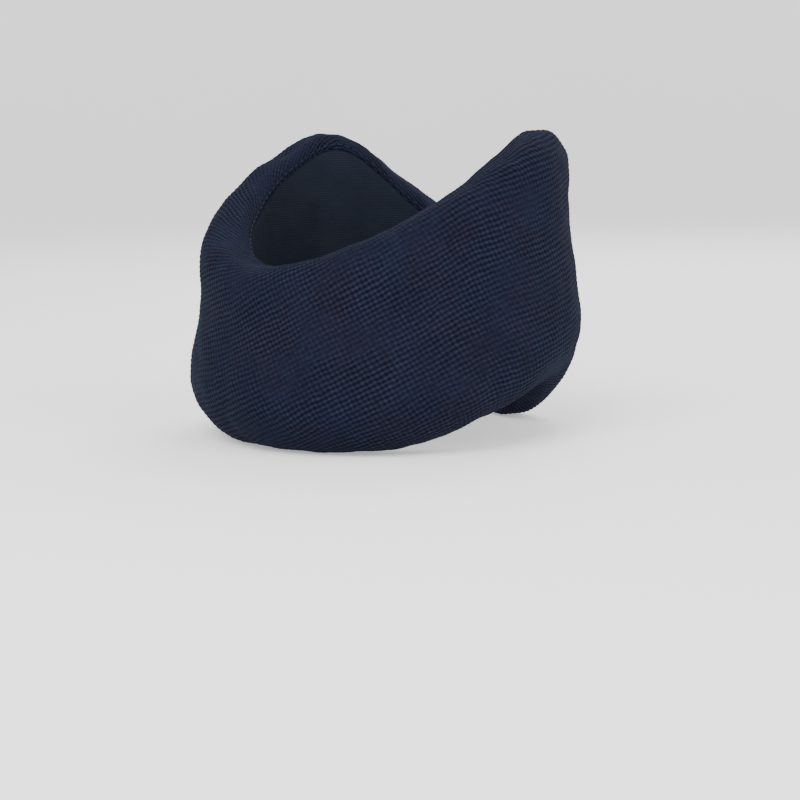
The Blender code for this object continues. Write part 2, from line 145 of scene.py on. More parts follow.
def travelled(x, z):
    """Distance along a path in a plane to each of its points."""
    steps = np.hypot(np.diff(x), np.diff(z))
    return np.concatenate([np.zeros_like(steps[..., :1]), np.cumsum(steps, axis=-1)], axis=-1)


def top_z(angle):
    """Height of the top edge: a smooth curve through TOP_EDGE, level at front and back."""
    angle = np.abs(np.asarray(angle, float))
    points = [(-TOP_EDGE[1][0], TOP_EDGE[1][1])] + TOP_EDGE
    points.append((360.0 - TOP_EDGE[-2][0], TOP_EDGE[-2][1]))
    at, height = (np.array(column, float) for column in zip(*points))
    k = np.clip(np.searchsorted(at, angle), 2, len(at) - 2) - 1
    t = (angle - at[k]) / (at[k + 1] - at[k])
    slope1 = (height[k + 1] - height[k - 1]) / (at[k + 1] - at[k - 1]) * (at[k + 1] - at[k])
    slope2 = (height[k + 2] - height[k]) / (at[k + 2] - at[k]) * (at[k + 1] - at[k])
    return (height[k] * (2 * t ** 3 - 3 * t ** 2 + 1) + slope1 * (t ** 3 - 2 * t ** 2 + t)
            + height[k + 1] * (3 * t ** 2 - 2 * t ** 3) + slope2 * (t ** 3 - t ** 2))


def low_z(angle):
    """Height of the bottom edge: on the floor at front and back, raised over the shoulders."""
    angle = np.abs(np.asarray(angle, float))
    rise = smooth((angle - FRONT_REST_ANGLE) / (SHOULDER_ANGLE - FRONT_REST_ANGLE))
    fall = smooth((BACK_REST_ANGLE - angle) / (BACK_REST_ANGLE - SHOULDER_ANGLE))
    return SHOULDER_RISE * rise * fall


def shaped(angle):
    """1 round the front and sides, falling to 0 at the back, where the faces are plain."""
    return 1.0 - smooth((np.abs(angle) - PLAIN_FROM) / (PLAIN_BY - PLAIN_FROM))


def flare(angle, z):
    """The slab's outward lean at height z, which both faces have."""
    return shaped(angle) * FLARE * (z - FLARE_ZERO)


def lean(angle, z):
    """Offset of the outer face at height z, before its corners are rounded."""
    low, high = low_z(angle), top_z(angle)
    t = ((z - low) / (high - low) - BULGE_HEIGHT) / BULGE_SPREAD
    return flare(angle, z) + shaped(angle) * LOW_BULGE * np.exp(-t * t)


def low_outer(angle):
    """The lower outer rounding, deep at the front and plain at the back."""
    share = shaped(angle)
    return [back + share * (front - back) for front, back in zip(LOW_OUTER, LOW_OUTER_BACK)]


def drop(distance, rounding):
    """How far an elliptical corner falls back at this distance from the edge it rounds."""
    across, along = rounding
    inside = np.clip(1.0 - distance / along, 0.0, 1.0)
    return across * (1.0 - np.sqrt(1.0 - inside ** 2))


def face(angle, z):
    """Offset of the finished outer face at height z, corners included."""
    rounding = drop(z - low_z(angle), low_outer(angle)) + drop(top_z(angle) - z, TOP_OUTER)
    return lean(angle, z) - rounding


def depth_at(t):
    """Depth of the nominal outer face's half ellipse, the front one or the back one."""
    return np.where(np.cos(t) > 0.0, FRONT_DEPTH, BACK_DEPTH)


def normal_in_plan(angle):
    """Unit outward direction in plan, shape (..., 3)."""
    t = np.radians(angle)
    return unit(np.stack([depth_at(t) * np.sin(t), -HALF_WIDTH * np.cos(t), np.zeros_like(t)], -1))


def place(angle, offset, z):
    """Slab coordinates to world coordinates, shape (..., 3)."""
    angle, offset, z = np.broadcast_arrays(*(np.asarray(v, float) for v in (angle, offset, z)))
    t = np.radians(angle)
    base = np.stack([HALF_WIDTH * np.sin(t), CENTRE_Y - depth_at(t) * np.cos(t), z], axis=-1)
    return base + offset[..., None] * normal_in_plan(angle)


def from_end(angle):
    """Distance along the slab from a plan angle to the nearer wing's end."""
    return (END_ANGLE - np.abs(angle)) * PER_DEGREE


def waves(s, t, size, seed, count=12):
    """Smooth seeded noise of about unit height, its bumps about size across."""
    draw = np.random.default_rng(seed)
    total = np.zeros(np.broadcast(s, t).shape)
    for _ in range(count):
        turn, phase = draw.uniform(0.0, math.tau, 2)
        rate = math.tau / size * draw.uniform(0.5, 1.5)
        total = total + np.cos(rate * (s * math.cos(turn) + t * math.sin(turn)) + phase)
    return total * math.sqrt(2.0 / count)


def uneven(s, t, layers):
    """Smooth noise in layers of (height, size across, seed)."""
    return sum(height * waves(s, t, size, seed) for height, size, seed in layers)


# ---- meshes from grids ----

ANY_DIRECTION = [0.3, 0.5, 0.8]     # guides the sides of a thread that is straight
TAPER = 0.8                         # how much of a thread's section is gone at its ends


class Skin:
    """Grids of points gathered into one mesh, with a normal and a knit coordinate each."""

    def __init__(self):
        self.points, self.normals, self.knits, self.faces, self.caps = [], [], [], [], []
        self.count = 0

    def grid(self, points, knit=None, normals=None):
        """Add a grid of points, shape (columns, rows, 3); returns its indices."""
        index = self.count + np.arange(points.size // 3).reshape(points.shape[:2])
        self.count += index.size
        for kept, made in ((self.points, points), (self.normals, normals), (self.knits, knit)):
            kept.append((np.zeros_like(points) if made is None else made).reshape(-1, 3))
        return index

    def quads(self, index, flip=False):
        """Faces over a grid of indices; they face columns x rows, or the other way if flipped."""
        corners = [index[:-1, :-1], index[1:, :-1], index[1:, 1:], index[:-1, 1:]]
        faces = np.stack(corners, axis=-1).reshape(-1, 4)
        self.faces.append(faces[:, ::-1] if flip else faces)

    def cap(self, ring):
        """One face over a whole ring of indices."""
        self.caps.append([int(i) for i in ring])

    def tube(self, points, knit=None):
        """A closed tube over a grid whose columns are rings, with a cap on both ends."""
        index = self.grid(points, knit)
        self.quads(np.concatenate([index, index[:, :1]], axis=1))
        self.cap(index[0, ::-1])
        self.cap(index[-1])

    def build(self, name, finish):
        """The mesh object."""
        mesh = bpy.data.meshes.new(name)
        faces = np.concatenate(self.faces).tolist() + self.caps
        mesh.from_pydata(np.concatenate(self.points).tolist(), [], faces)
        knit = mesh.attributes.new("knit", 'FLOAT_VECTOR', 'POINT')
        knit.data.foreach_set("vector", np.concatenate(self.knits).astype(np.float32).ravel())
        mesh.shade_smooth()
        normals = np.concatenate(self.normals)
        if normals.any():
            mesh.normals_split_custom_set_from_vertices(normals.tolist())
        mesh.materials.append(finish)
        made = bpy.data.objects.new(name, mesh)
        bpy.context.collection.objects.link(made)
        return made


def grid_normals(points):
    """Unit normals of a grid of points, facing columns x rows."""
    return unit(np.cross(np.gradient(points, axis=0), np.gradient(points, axis=1)))


def plain_knit(*turns):
    """Knit coordinates of even cloth: turns one way, turns the other, and a contrast of 1."""
    return np.stack(np.broadcast_arrays(*turns, 1.0), axis=-1)


def tubes(name, paths, radius, finish, sides=6):
    """Short threads: one tapered tube along each path, paths having shape (threads, points, 3)."""
    count = paths.shape[1]
    along = unit(np.gradient(paths, axis=1))
    middle = paths - paths.mean(axis=1, keepdims=True)
    guide = np.cross(along[:, :1], middle[:, count // 2, None])
    straight = np.linalg.norm(guide, axis=-1, keepdims=True) < 1e-9
    guide = np.where(straight, ANY_DIRECTION, guide)
    side = unit(np.cross(along, np.broadcast_to(guide, along.shape)))
    other = np.cross(along, side)
    width = radius * np.sqrt(1.0 - TAPER * np.linspace(-1.0, 1.0, count) ** 4)
    turn = np.linspace(0.0, math.tau, sides, endpoint=False)[:, None]
    ring = np.cos(turn) * side[:, :, None] + np.sin(turn) * other[:, :, None]
    skin = Skin()
    for points in paths[:, :, None] + width[None, :, None, None] * ring:
        skin.tube(points)
    return skin.build(name, finish)


# ---- the slab's surface ----

END_ROUND = (THICKNESS / 2 - 0.2 * MM, 8.0 * MM)    # the ends' full rounding, across and along
REFERENCE_Z = 55.0 * MM                             # where the knit's upward coordinate is 0


def columns(start, end, spacing):
    """Plan angles over a stretch of the slab, and their distance along it.

    An end of the stretch that is a wing's end is rounded, so its columns are spaced round that.
    """
    side = 1.0 if start + end >= 0.0 else -1.0
    low, high = sorted((abs(start), abs(end))) if start * end >= 0.0 else (start, end)
    to_wing_end = high >= END_ANGLE
    stop = high - (END_ROUND[1] / PER_DEGREE if to_wing_end else 0.0)
    count = max(2, round((stop - low) * PER_DEGREE / spacing))
    angle = np.linspace(low, stop, count + 1)
    s = angle * PER_DEGREE
    if to_wing_end:
        turns = np.linspace(0.0, math.pi / 2, 60)
        along, across = END_ROUND[1] * np.sin(turns), END_ROUND[0] * (1.0 - np.cos(turns))
        arc = travelled(along, across)
        picks = np.linspace(0.0, arc[-1], round(arc[-1] / spacing) + 1)[1:]
        angle = np.concatenate([angle, stop + np.interp(picks, arc, along) / PER_DEGREE])
        s = np.concatenate([s, s[-1] + picks])
    if side < 0.0 or start * end < 0.0 and start > end:
        return -angle[::-1], -s[::-1]
    return angle, s


def corner(across, along, count):
    """Loss across and rise along, round elliptical quarter corners from the edge inward."""
    t = np.linspace(0.0, math.pi / 2, count)
    return across[:, None] * (1.0 - np.sin(t)), along[:, None] * (1.0 - np.cos(t))


def section(angle, inset=0.0, detail=12):
    """Cross-sections moved in by inset, from the lower inner corner round to the upper one.

    Returns offsets, heights and the slice of the points that lies on the outer face.
    """
    end = np.maximum(from_end(angle) - inset, 0.0)
    shorter = drop(end, (END_CORNER, END_CORNER))
    squeeze = inset + drop(end, END_ROUND) * (1.0 - inset / (THICKNESS / 2))
    thin = (THICKNESS - 2.0 * squeeze) / (THICKNESS - 2.0 * inset)
    low = low_z(angle) + inset + shorter
    high = top_z(angle) - inset - shorter
    ones = np.ones_like(angle)
    rounds = [(np.maximum(across * ones - inset, MM) * thin, np.maximum(along * ones - inset, MM))
              for across, along in (low_outer(angle), TOP_OUTER, TOP_INNER, LOW_INNER)]
    low_out, top_out, top_in, low_in = (corner(*pair, detail) for pair in rounds)
    share = np.linspace(0.0, 1.0, 3 * detail)[1:-1]
    bottom, top = low + rounds[0][1], high - rounds[1][1]
    face_z = bottom[:, None] + (top - bottom)[:, None] * share
    top_out_z = high[:, None] - top_out[1]
    outer_z = np.concatenate([low[:, None] + low_out[1], face_z, top_out_z[:, ::-1]], 1)
    loss = np.concatenate([low_out[0], np.zeros_like(face_z), top_out[0][:, ::-1]], 1)
    outer = lean(angle[:, None], outer_z) - squeeze[:, None] - loss
    low_in_z = (low[:, None] + low_in[1])[:, ::-1]
    top_in_z = high[:, None] - top_in[1]
    low_in_offset = inner_face(angle, low_in_z, squeeze) + low_in[0][:, ::-1]
    top_in_offset = inner_face(angle, top_in_z, squeeze) + top_in[0]
    offset = np.concatenate([low_in_offset, outer, top_in_offset], 1)
    z = np.concatenate([low_in_z, outer_z, top_in_z], 1)
    return offset, z, slice(2 * detail, 5 * detail - 2)


def end_squeeze(angle):
    """How far the rounding of a wing's end draws both faces in."""
    return drop(np.maximum(from_end(angle), 0.0), END_ROUND)


def inner_face(angle, z, squeeze=0.0):
    """Offset of the face towards the neck."""
    return flare(angle[:, None], z) - THICKNESS + np.asarray(squeeze)[..., None]


def lip_reach(angle):
    """How far the cover returns over the inner face, wider round the lining's rounded corners."""
    past = np.maximum(from_end(angle) - END_LIP, 0.0)
    return LIP + drop(past, (PANEL_CORNER, PANEL_CORNER))


def lip_heights(angle):
    """Heights of the cover's lower and upper lip edges on the inner face."""
    end = from_end(angle)
    shorter = drop(np.maximum(end, 0.0), (END_CORNER, END_CORNER))
    reach = lip_reach(angle)
    low, high = low_z(angle) + reach, top_z(angle) - reach
    room = np.minimum(shorter, reach - LOW_INNER[1] * 1.1)
    return low + shorter - room, high - shorter + room


def cover_rows(angle, rows):
    """The cover from lower lip to upper lip, in rows evenly spaced along each cross-section.

    Returns offsets, heights and distances up the cloth from REFERENCE_Z.
    """
    offset, z, face_part = section(angle)
    squeeze = end_squeeze(angle)
    low_lip, high_lip = (lip[:, None] for lip in lip_heights(angle))
    offset = np.concatenate([inner_face(angle, low_lip, squeeze), offset,
                             inner_face(angle, high_lip, squeeze)], 1)
    z = np.concatenate([low_lip, z, high_lip], 1)
    face_part = slice(face_part.start + 1, face_part.stop + 1)
    arc = travelled(offset, z)
    made = np.empty((3, len(angle), rows))
    for i in range(len(angle)):
        at = np.linspace(0.0, 1.0, rows) * arc[i, -1]
        made[0, i] = np.interp(at, arc[i], offset[i])
        made[1, i] = np.interp(at, arc[i], z[i])
        made[2, i] = at - np.interp(REFERENCE_Z, z[i, face_part], arc[i, face_part])
    return made


# ---- the knit ----

ROW_SHARE = 0.33                # rows stand out a little more than the columns across them
# Layers of noise: height, size across, seed
WANDER_ALONG = ((0.22 * MM, 26 * MM, 1), (0.088 * MM, 7 * MM, 2))
WANDER_UP = ((0.22 * MM, 30 * MM, 3), (0.088 * MM, 7 * MM, 4))
CONTRAST_LAYERS = ((0.22, 30 * MM, 5), (0.12, 9 * MM, 6))
HOLLOWS = ((0.22 * MM, 45 * MM, 11), (0.08 * MM, 14 * MM, 12))
CONTRAST = 0.85
CONTRAST_RANGE = (0.3, 1.3)
# Dents where the slab bends: plan angle, depth, width in degrees
CREASES = ((-8.0, 0.45 * MM, 3.4), (75.0, 0.5 * MM, 4.0), (38.0, 0.18 * MM, 5.0),
           (-75.0, 0.4 * MM, 4.0), (128.0, 0.3 * MM, 4.5), (-126.0, 0.3 * MM, 4.5))
LIP_CURL = 0.7 * MM             # radius of the fold along the cover's lips
LIP_TUCK = 0.8 * MM             # how far the last row of that fold goes further in
FLOOR_CLEAR = 0.03 * MM
COLUMN_SPACING = 0.53 * MM      # between the cover's columns of points
COVER_ROWS = 290
ROW_SPACING = 0.52 * MM         # about, between the rows of points up the cover
FLAP_ROWS = 150
LIP_EASE = 5.0 * MM             # over which the cover comes into its padded shape past its seam
SEAM_CLEAR = 0.6 * MM           # kept even beyond the seam
TAPE_EASE = 6.0 * MM            # how far round a tape the cover eases into its own shape
END_EASE = 10.0 * MM            # how far beside a wing's end the same is eased,
END_SHARE = 0.15                # and the share of that already passed at the end itself


def knit_phases(s, t):
    """Waffle coordinates of points on the cloth: turns along a row, turns across, contrast.

    The knit wanders a little, and its relief is weaker in patches.
    """
    s = s + uneven(s, t, WANDER_ALONG)
    t = t + uneven(s, t, WANDER_UP)
    past_left = LEFT_EASE[1] * np.logaddexp(0.0, (s - LEFT_EASE[0]) / LEFT_EASE[1])
    past_right = RIGHT_EASE[1] * np.logaddexp(0.0, (RIGHT_EASE[0] - s) / RIGHT_EASE[1])
    outside = past_left - past_right
    climb = math.tan(ROW_TILT) * (s - outside) + math.tan(SIDE_TILT) * outside
    along = s * math.cos(ROW_TILT) + t * math.sin(ROW_TILT)
    across = (t - climb) * math.cos(ROW_TILT)
    contrast = np.clip(CONTRAST + uneven(s, t, CONTRAST_LAYERS), *CONTRAST_RANGE)
    return np.stack([along / CELL[0], across / CELL[1], contrast], axis=-1)


def knit_height(knit):
    """Height of the waffle from its phases, about -0.5 in the pits to 0.5 on the floats."""
    return (ROW_SHARE * np.cos(math.tau * knit[..., 1])
            + (0.5 - ROW_SHARE) * np.cos(math.tau * knit[..., 0])) * knit[..., 2]


def shape_noise(angle, s, t):
    """Slow unevenness of the padded outside: dents where the slab bends, and soft hollows."""
    dents = sum(depth * np.exp(-((angle - at) / width) ** 2) for at, depth, width in CREASES)
    return uneven(s, t, HOLLOWS) - dents


def under_tapes(angle, z):
    """1 where the strap or the loop tape holds the cover flat, easing to 0 round them."""
    covered = np.where(angle < 0.0, -LOOP_TAPE[1], STRAP_SPAN[0])
    past = (180.0 - covered - np.abs(angle)) * PER_DEGREE
    beside = np.abs(z - STRAP_CENTRE_Z) - LOOP_TAPE_WIDTH / 2
    return (1.0 - smooth(past / TAPE_EASE))[:, None] * (1.0 - smooth(beside / TAPE_EASE))


def cover_surface(angle, s, rows, puff):
    """Points, knit coordinates and normals of the cover from lip to lip."""
    offset, z, t = cover_rows(angle, rows)
    points = place(angle[:, None], offset, z)
    normals = grid_normals(points)
    s = np.broadcast_to(s[:, None], t.shape)
    knit = knit_phases(s, t)
    share = np.linspace(0.0, 1.0, rows)
    from_lip = np.minimum(share, 1.0 - share) * rows * ROW_SPACING
    calm = smooth((from_lip - SEAM_MARGIN - SEAM_CLEAR) / LIP_EASE)
    fade = calm * smooth(from_end(angle)[:, None] / END_EASE + END_SHARE)
    fade = fade * (1.0 - under_tapes(angle, z))
    lift = shape_noise(angle[:, None], s, t) * fade
    if puff is not None:
        lift = lift + sample(puff, angle, share) * fade
    points = points + (lift + RELIEF * knit_height(knit))[..., None] * normals
    points[..., 2] = np.maximum(points[..., 2], FLOOR_CLEAR)
    return points, knit, grid_normals(points)


def add_curl(skin, edge, beside, normals, knit, index, flip=False):
    """Carry an edge of the cover round its fold into the slab, in three rows."""
    inward = unit(edge - beside)
    rows = []
    for turn in (30.0, 60.0, 90.0):
        t = math.radians(turn)
        step = LIP_CURL * (math.sin(t) * inward - (1.0 - math.cos(t)) * normals)
        rows.append(edge + step - (LIP_TUCK * normals if turn == 90.0 else 0.0))
    curl = skin.grid(np.stack(rows, axis=1), np.repeat(knit[:, None], 3, axis=1))
    skin.quads(np.concatenate([index[:, None], curl], axis=1), flip)


def widened(picked):
    """The columns of a mask, and those beside them."""
    wide = picked.copy()
    wide[1:] |= picked[:-1]
    wide[:-1] |= picked[1:]
    return np.flatnonzero(wide)


def make_cover(name, start, end, puff):
    """One stretch of the cover, with its lips folded and, at a wing's end, its inner flap."""
    angle, s = columns(start, end, COLUMN_SPACING)
    cuts = [int(abs(stop) < END_ANGLE) for stop in (start, end)]
    for cut, k, step in zip(cuts, (0, -1), (angle[0] - angle[1], angle[-1] - angle[-2])):
        if cut:         # a column past it, so that the normals there are right
            at = 0 if k == 0 else len(angle)
            angle, s = (np.insert(angle, at, angle[k] + step),
                        np.insert(s, at, s[k] + step * PER_DEGREE))
    points, knit, normals = cover_surface(angle, s, COVER_ROWS, puff)
    keep = slice(cuts[0], len(angle) - cuts[1])
    angle, points, knit, normals = angle[keep], points[keep], knit[keep], normals[keep]
    skin = Skin()
    index = skin.grid(points, knit, normals)
    skin.quads(index)
    near_end = from_end(angle) < END_LIP
    plain = widened(~near_end)
    for row, beside in ((0, 1), (-1, -2)):
        add_curl(skin, points[plain, row], points[plain, beside], normals[plain, row],
                 knit[plain, row], index[plain, row], flip=row == 0)
    if near_end.any():
        add_flap(skin, angle, points, knit, index, widened(near_end))
    return skin.build(name, cloth())


def add_flap(skin, angle, points, knit, index, flap):
    """The part of the cover over the inner face beside a wing's end, and the end's cap."""
    low, high = lip_heights(angle[flap])
    share = np.linspace(1.0, 0.0, FLAP_ROWS)
    z = low[:, None] + (high - low)[:, None] * share
    offset = inner_face(angle[flap], z, end_squeeze(angle[flap]))
    inner = place(angle[flap][:, None], offset, z)
    top, bottom = points[flap, -1], points[flap, 0]
    blend = np.linspace(0.0, 1.0, FLAP_ROWS)[None, :, None]
    inner += ((top - inner[:, 0])[:, None] * (1.0 - blend)
              + (bottom - inner[:, -1])[:, None] * blend)
    step = np.array([0.0, 0.125, 0.0]) * np.arange(FLAP_ROWS)[None, :, None]
    turns = knit[flap, -1][:, None] + step
    normals = grid_normals(inner)
    relief = RELIEF * knit_height(turns) * smooth(np.minimum(share, 1.0 - share) * 8.0)
    inner += relief[..., None] * normals
    middle = skin.grid(inner[:, 1:-1], turns[:, 1:-1], grid_normals(inner)[:, 1:-1])
    ring = np.concatenate([index[flap, -1][:, None], middle, index[flap, 0][:, None]], axis=1)
    skin.quads(ring)
    outer, first, beside = (-1, 0, 1) if flap[-1] == len(angle) - 1 else (0, -1, -2)
    loop = np.concatenate([index[flap[outer]], ring[outer, 1:-1]])
    skin.cap(loop if outer == -1 else loop[::-1])
    add_curl(skin, inner[first], inner[beside], normals[first], turns[first], ring[first])


# ---- the padded cloth's own shape, by simulation ----

PUFF_COLUMNS = 111
PUFF_ROWS = 41
PUFF_FRAMES = 18
PUFF_START = ((0.15 * MM, 16 * MM, 21),)
PUFF_CLOTH = {"quality": 6, "mass": 0.25, "tension_stiffness": 12.0, "compression_stiffness": 12.0,
              "shear_stiffness": 6.0, "bending_stiffness": 0.8, "vertex_group_mass": "seams",
              "use_pressure": True, "uniform_pressure_force": 2.5, "shrink_min": -0.02}
PUFF_CAP = 1.6 * MM             # most that the cloth stands out from its even shape
SINK_CAP = 0.8 * MM             # most that it sinks in


def spline_weights(at, count):
    """Cubic B-spline weights that read evenly spaced samples at places from 0 to count - 1."""
    weights = np.zeros((len(at), count))
    base = np.floor(at).astype(int)
    f = at - base
    parts = ((1 - f) ** 3 / 6, (3 * f ** 3 - 6 * f ** 2 + 4) / 6,
             (-3 * f ** 3 + 3 * f ** 2 + 3 * f + 1) / 6, f ** 3 / 6)
    for k, part in enumerate(parts):
        np.add.at(weights, (np.arange(len(at)), np.clip(base + k - 1, 0, count - 1)), part)
    return weights


def sample(puff, angle, share):
    """The simulated lift of the cloth, read smoothly at plan angles and shares of the section."""
    across = (angle + END_ANGLE) / (2.0 * END_ANGLE) * (PUFF_COLUMNS - 1)
    up = share * (PUFF_ROWS - 1)
    return spline_weights(across, PUFF_COLUMNS) @ puff @ spline_weights(up, PUFF_ROWS).T


def simulate_puff():
    """Blow the cover up against its seams as slightly large cloth; returns how far it lifts."""
    angle = np.linspace(-END_ANGLE, END_ANGLE, PUFF_COLUMNS)
    inside = np.clip(angle, -END_ANGLE + 1.0, END_ANGLE - 1.0)
    offset, z, t = cover_rows(inside, PUFF_ROWS)
    rest = place(inside[:, None], offset, z)
    normals = grid_normals(rest)
    s = (angle * PER_DEGREE)[:, None]
    skin = Skin()
    skin.quads(skin.grid(rest + uneven(s, t, PUFF_START)[..., None] * normals))
    piece = skin.build("puff_cloth", bpy.data.materials.new("puff"))
    fixed = np.zeros(rest.shape[:2], bool)
    fixed[:, [0, 1, -2, -1]] = True
    fixed[[0, -1]] = True
    pins = piece.vertex_groups.new(name="seams")
    pins.add(np.flatnonzero(fixed.ravel()).tolist(), 1.0, 'REPLACE')
    modifier = piece.modifiers.new("cloth", 'CLOTH')
    for name, value in PUFF_CLOTH.items():
        setattr(modifier.settings, name, value)
    modifier.settings.effector_weights.gravity = 0.0
    modifier.collision_settings.use_collision = False
    scene = bpy.context.scene
    for step in range(1, PUFF_FRAMES + 1):
        scene.frame_set(step)
    moved = piece.evaluated_get(bpy.context.evaluated_depsgraph_get()).to_mesh()
    points = np.empty(len(moved.vertices) * 3)
    moved.vertices.foreach_get("co", points)
    lift = ((points.reshape(rest.shape) - rest) * normals).sum(axis=-1)
    bpy.data.objects.remove(piece, do_unlink=True)
    scene.frame_set(1)
    lift = lift - np.median(lift)
    cap = np.where(lift > 0.0, PUFF_CAP, SINK_CAP)
    return cap * np.tanh(lift / cap)


# ---- lining and foam ----

TUCK = 1.5 * MM                 # how far the lining runs on under the cover's lip
LINING_THICKNESS = 1.0 * MM
LINING_DEPTH = 1.0 * MM         # how far it lies below the lip at its edge
LINING_CROWN = 0.5 * MM         # how far its middle swells towards the neck
WALE = 1.1 * MM                 # width of the jersey's columns of stitches
LINING_LAYERS = ((0.16 * MM, 30 * MM, 31), (0.05 * MM, 9 * MM, 32))
LINING_EASE = 4.5 * MM          # how far from its edge the lining rises to its face
CROWN_EASE = 22.0 * MM          # and to its full crown
LINING_GRID = (0.9 * MM, 100)   # spacing of its columns, number of its rows
FOAM_SPACING = 4.0 * MM
FOAM_INNER_POINTS = 8
FOAM_NEAR_END = np.array([6.0, 3.5, 1.8, 0.7, 0.2]) * MM    # more columns round its two ends
FOAM_INSET = 3.6 * MM


def thick_sheet(skin, points, thickness, knit, normals=None):
    """A sheet with its visible side on the points and its back a thickness behind them."""
    normals = grid_normals(points) if normals is None else normals
    front = skin.grid(points, knit, normals)
    back = skin.grid(points - thickness * normals, knit, -normals)
    skin.quads(front)
    skin.quads(back, flip=True)
    for edge, flip in ((np.s_[:, 0], False), (np.s_[:, -1], True), (np.s_[0], True),
                       (np.s_[-1], False)):
        skin.quads(np.stack([front[edge], back[edge]], axis=1), flip)


def with_neighbours(angle):
    """The plan angles with one more beyond each end, so that normals at the ends come out right."""
    return np.concatenate([[2 * angle[0] - angle[1]], angle, [2 * angle[-1] - angle[-2]]])


def make_lining(name, start, end):
    """One stretch of the lining, tucked under the cover's lips and slightly crowned."""
    hidden_end = END_ANGLE - (END_LIP - TUCK) / PER_DEGREE
    start, end = max(start, -hidden_end), min(end, hidden_end)
    spacing, rows = LINING_GRID
    angle = with_neighbours(np.linspace(start, end, round((end - start) * PER_DEGREE / spacing)))
    past_end = (hidden_end - np.abs(angle)) * PER_DEGREE
    reach = LIP - TUCK + drop(np.maximum(past_end, 0.0), (PANEL_CORNER, PANEL_CORNER))
    low, high = low_z(angle) + reach, top_z(angle) - reach
    z = high[:, None] + (low - high)[:, None] * np.linspace(0.0, 1.0, rows)
    edge = np.minimum(np.minimum(z - low[:, None], high[:, None] - z), past_end[:, None])
    s = np.broadcast_to(angle[:, None] * PER_DEGREE, z.shape)
    depth = LINING_DEPTH * (1.0 - smooth(edge / LINING_EASE))
    depth = depth - LINING_CROWN * smooth(edge / CROWN_EASE) + uneven(s, z, LINING_LAYERS)
    points = place(angle[:, None], inner_face(angle, z) + depth, z)
    normals = grid_normals(points)
    inside = slice(1, -1)
    skin = Skin()
    thick_sheet(skin, points[inside], LINING_THICKNESS, plain_knit(s / WALE, z / WALE)[inside],
                normals[inside])
    return skin.build(name, jersey())


def make_foam(name, start, end):
    """One stretch of the foam slab, inside the cover."""
    last = END_ANGLE - FOAM_INSET / PER_DEGREE
    start, end = max(start, -last), min(end, last)
    angle = np.linspace(start, end, round((end - start) * PER_DEGREE / FOAM_SPACING))
    for stop in (start, end):
        if abs(stop) == last:
            angle = np.append(angle, stop - np.sign(stop) * FOAM_NEAR_END / PER_DEGREE)
    angle = np.unique(angle)
    offset, z, _ = section(angle, FOAM_INSET, detail=6)
    share = np.linspace(0.0, 1.0, FOAM_INNER_POINTS)[1:-1]
    offset, z = (np.concatenate([a, a[:, -1:] + (a[:, :1] - a[:, -1:]) * share], 1)
                 for a in (offset, z))
    skin = Skin()
    skin.tube(place(angle[:, None], offset, z))
    return skin.build(name, foam())


# ---- stitches ----

DIVE = 0.42 * MM                # how far a stitch sinks at its two ends
PROUD = 0.02 * MM               # how far its middle stands off the cloth
SLANT = 0.14 * MM               # how far its ends may stray from the line


def stitches(name, path, outward, closed=False, pitch=STITCH + STITCH_GAP):
    """A row of separate stitches along a dense path, outward being its side that shows."""
    if closed:
        path, outward = (np.concatenate([a, a[:1]]) for a in (path, outward))
    arc = np.concatenate([[0.0], np.cumsum(np.linalg.norm(np.diff(path, axis=0), axis=1))])
    count = max(1, round(arc[-1] / pitch))
    share = np.linspace(0.0, 1.0, 7)
    length = arc[-1] / count * STITCH / (STITCH + STITCH_GAP)
    at = (np.arange(count)[:, None] + 0.5) * arc[-1] / count + length * (share - 0.5)
    points, up = (np.stack([np.interp(at, arc, a[:, k]) for k in range(3)], axis=-1)
                  for a in (path, outward))
    ends = 2.0 * share - 1.0
    rise = PROUD + THREAD / 2 - (DIVE + THREAD / 2) * np.abs(ends) ** 3
    side = unit(np.cross(np.gradient(points, axis=1), up))
    slant = RNG.uniform(-SLANT, SLANT, (count, 1, 1)) * ends[None, :, None]
    points = points + rise[None, :, None] * up + slant * side
    return tubes(name, points, THREAD / 2, fibre("sewing_thread"))


def inner_surface(angle, z):
    """Offset of the inner face at height z, corners included."""
    rounding = drop(top_z(angle) - z, TOP_INNER) + drop(z - low_z(angle), LOW_INNER)
    return flare(angle, z) - THICKNESS + rounding + end_squeeze(angle)


def inner_stitches(name, angle, z):
    """Stitches along a line on the inner face."""
    return stitches(name, place(angle, inner_surface(angle, z), z), -normal_in_plan(angle))


def edge_seam(name, edge, start, end):
    """The stitches along one edge of the lining, over a stretch of plan angle."""
    stop = END_ANGLE - (END_LIP + PANEL_CORNER) / PER_DEGREE
    angle = np.linspace(max(start, -stop), min(end, stop), 240)
    reach = LIP - SEAM_MARGIN
    z = top_z(angle) - reach if edge == "top" else low_z(angle) + reach
    return inner_stitches(name, angle, z)


def end_seam(name, side):
    """The stitches round a wing's end of the lining, with its rounded corners."""
    radius = PANEL_CORNER + SEAM_MARGIN
    t = np.linspace(0.0, math.pi / 2, 16)
    distance, fall = radius * (1.0 - np.sin(t)), radius * (1.0 - np.cos(t))
    distance, reach = distance + END_LIP - SEAM_MARGIN, LIP - SEAM_MARGIN
    angle = side * (END_ANGLE - distance / PER_DEGREE)
    top, low = top_z(angle) - reach - fall, low_z(angle) + reach + fall
    middle = np.linspace(top[0], low[0], 60)[1:-1]
    angle = np.concatenate([angle[::-1], np.full(len(middle), angle[0]), angle])
    return inner_stitches(name, angle, np.concatenate([top[::-1], middle, low]))


# ---- the closure ----

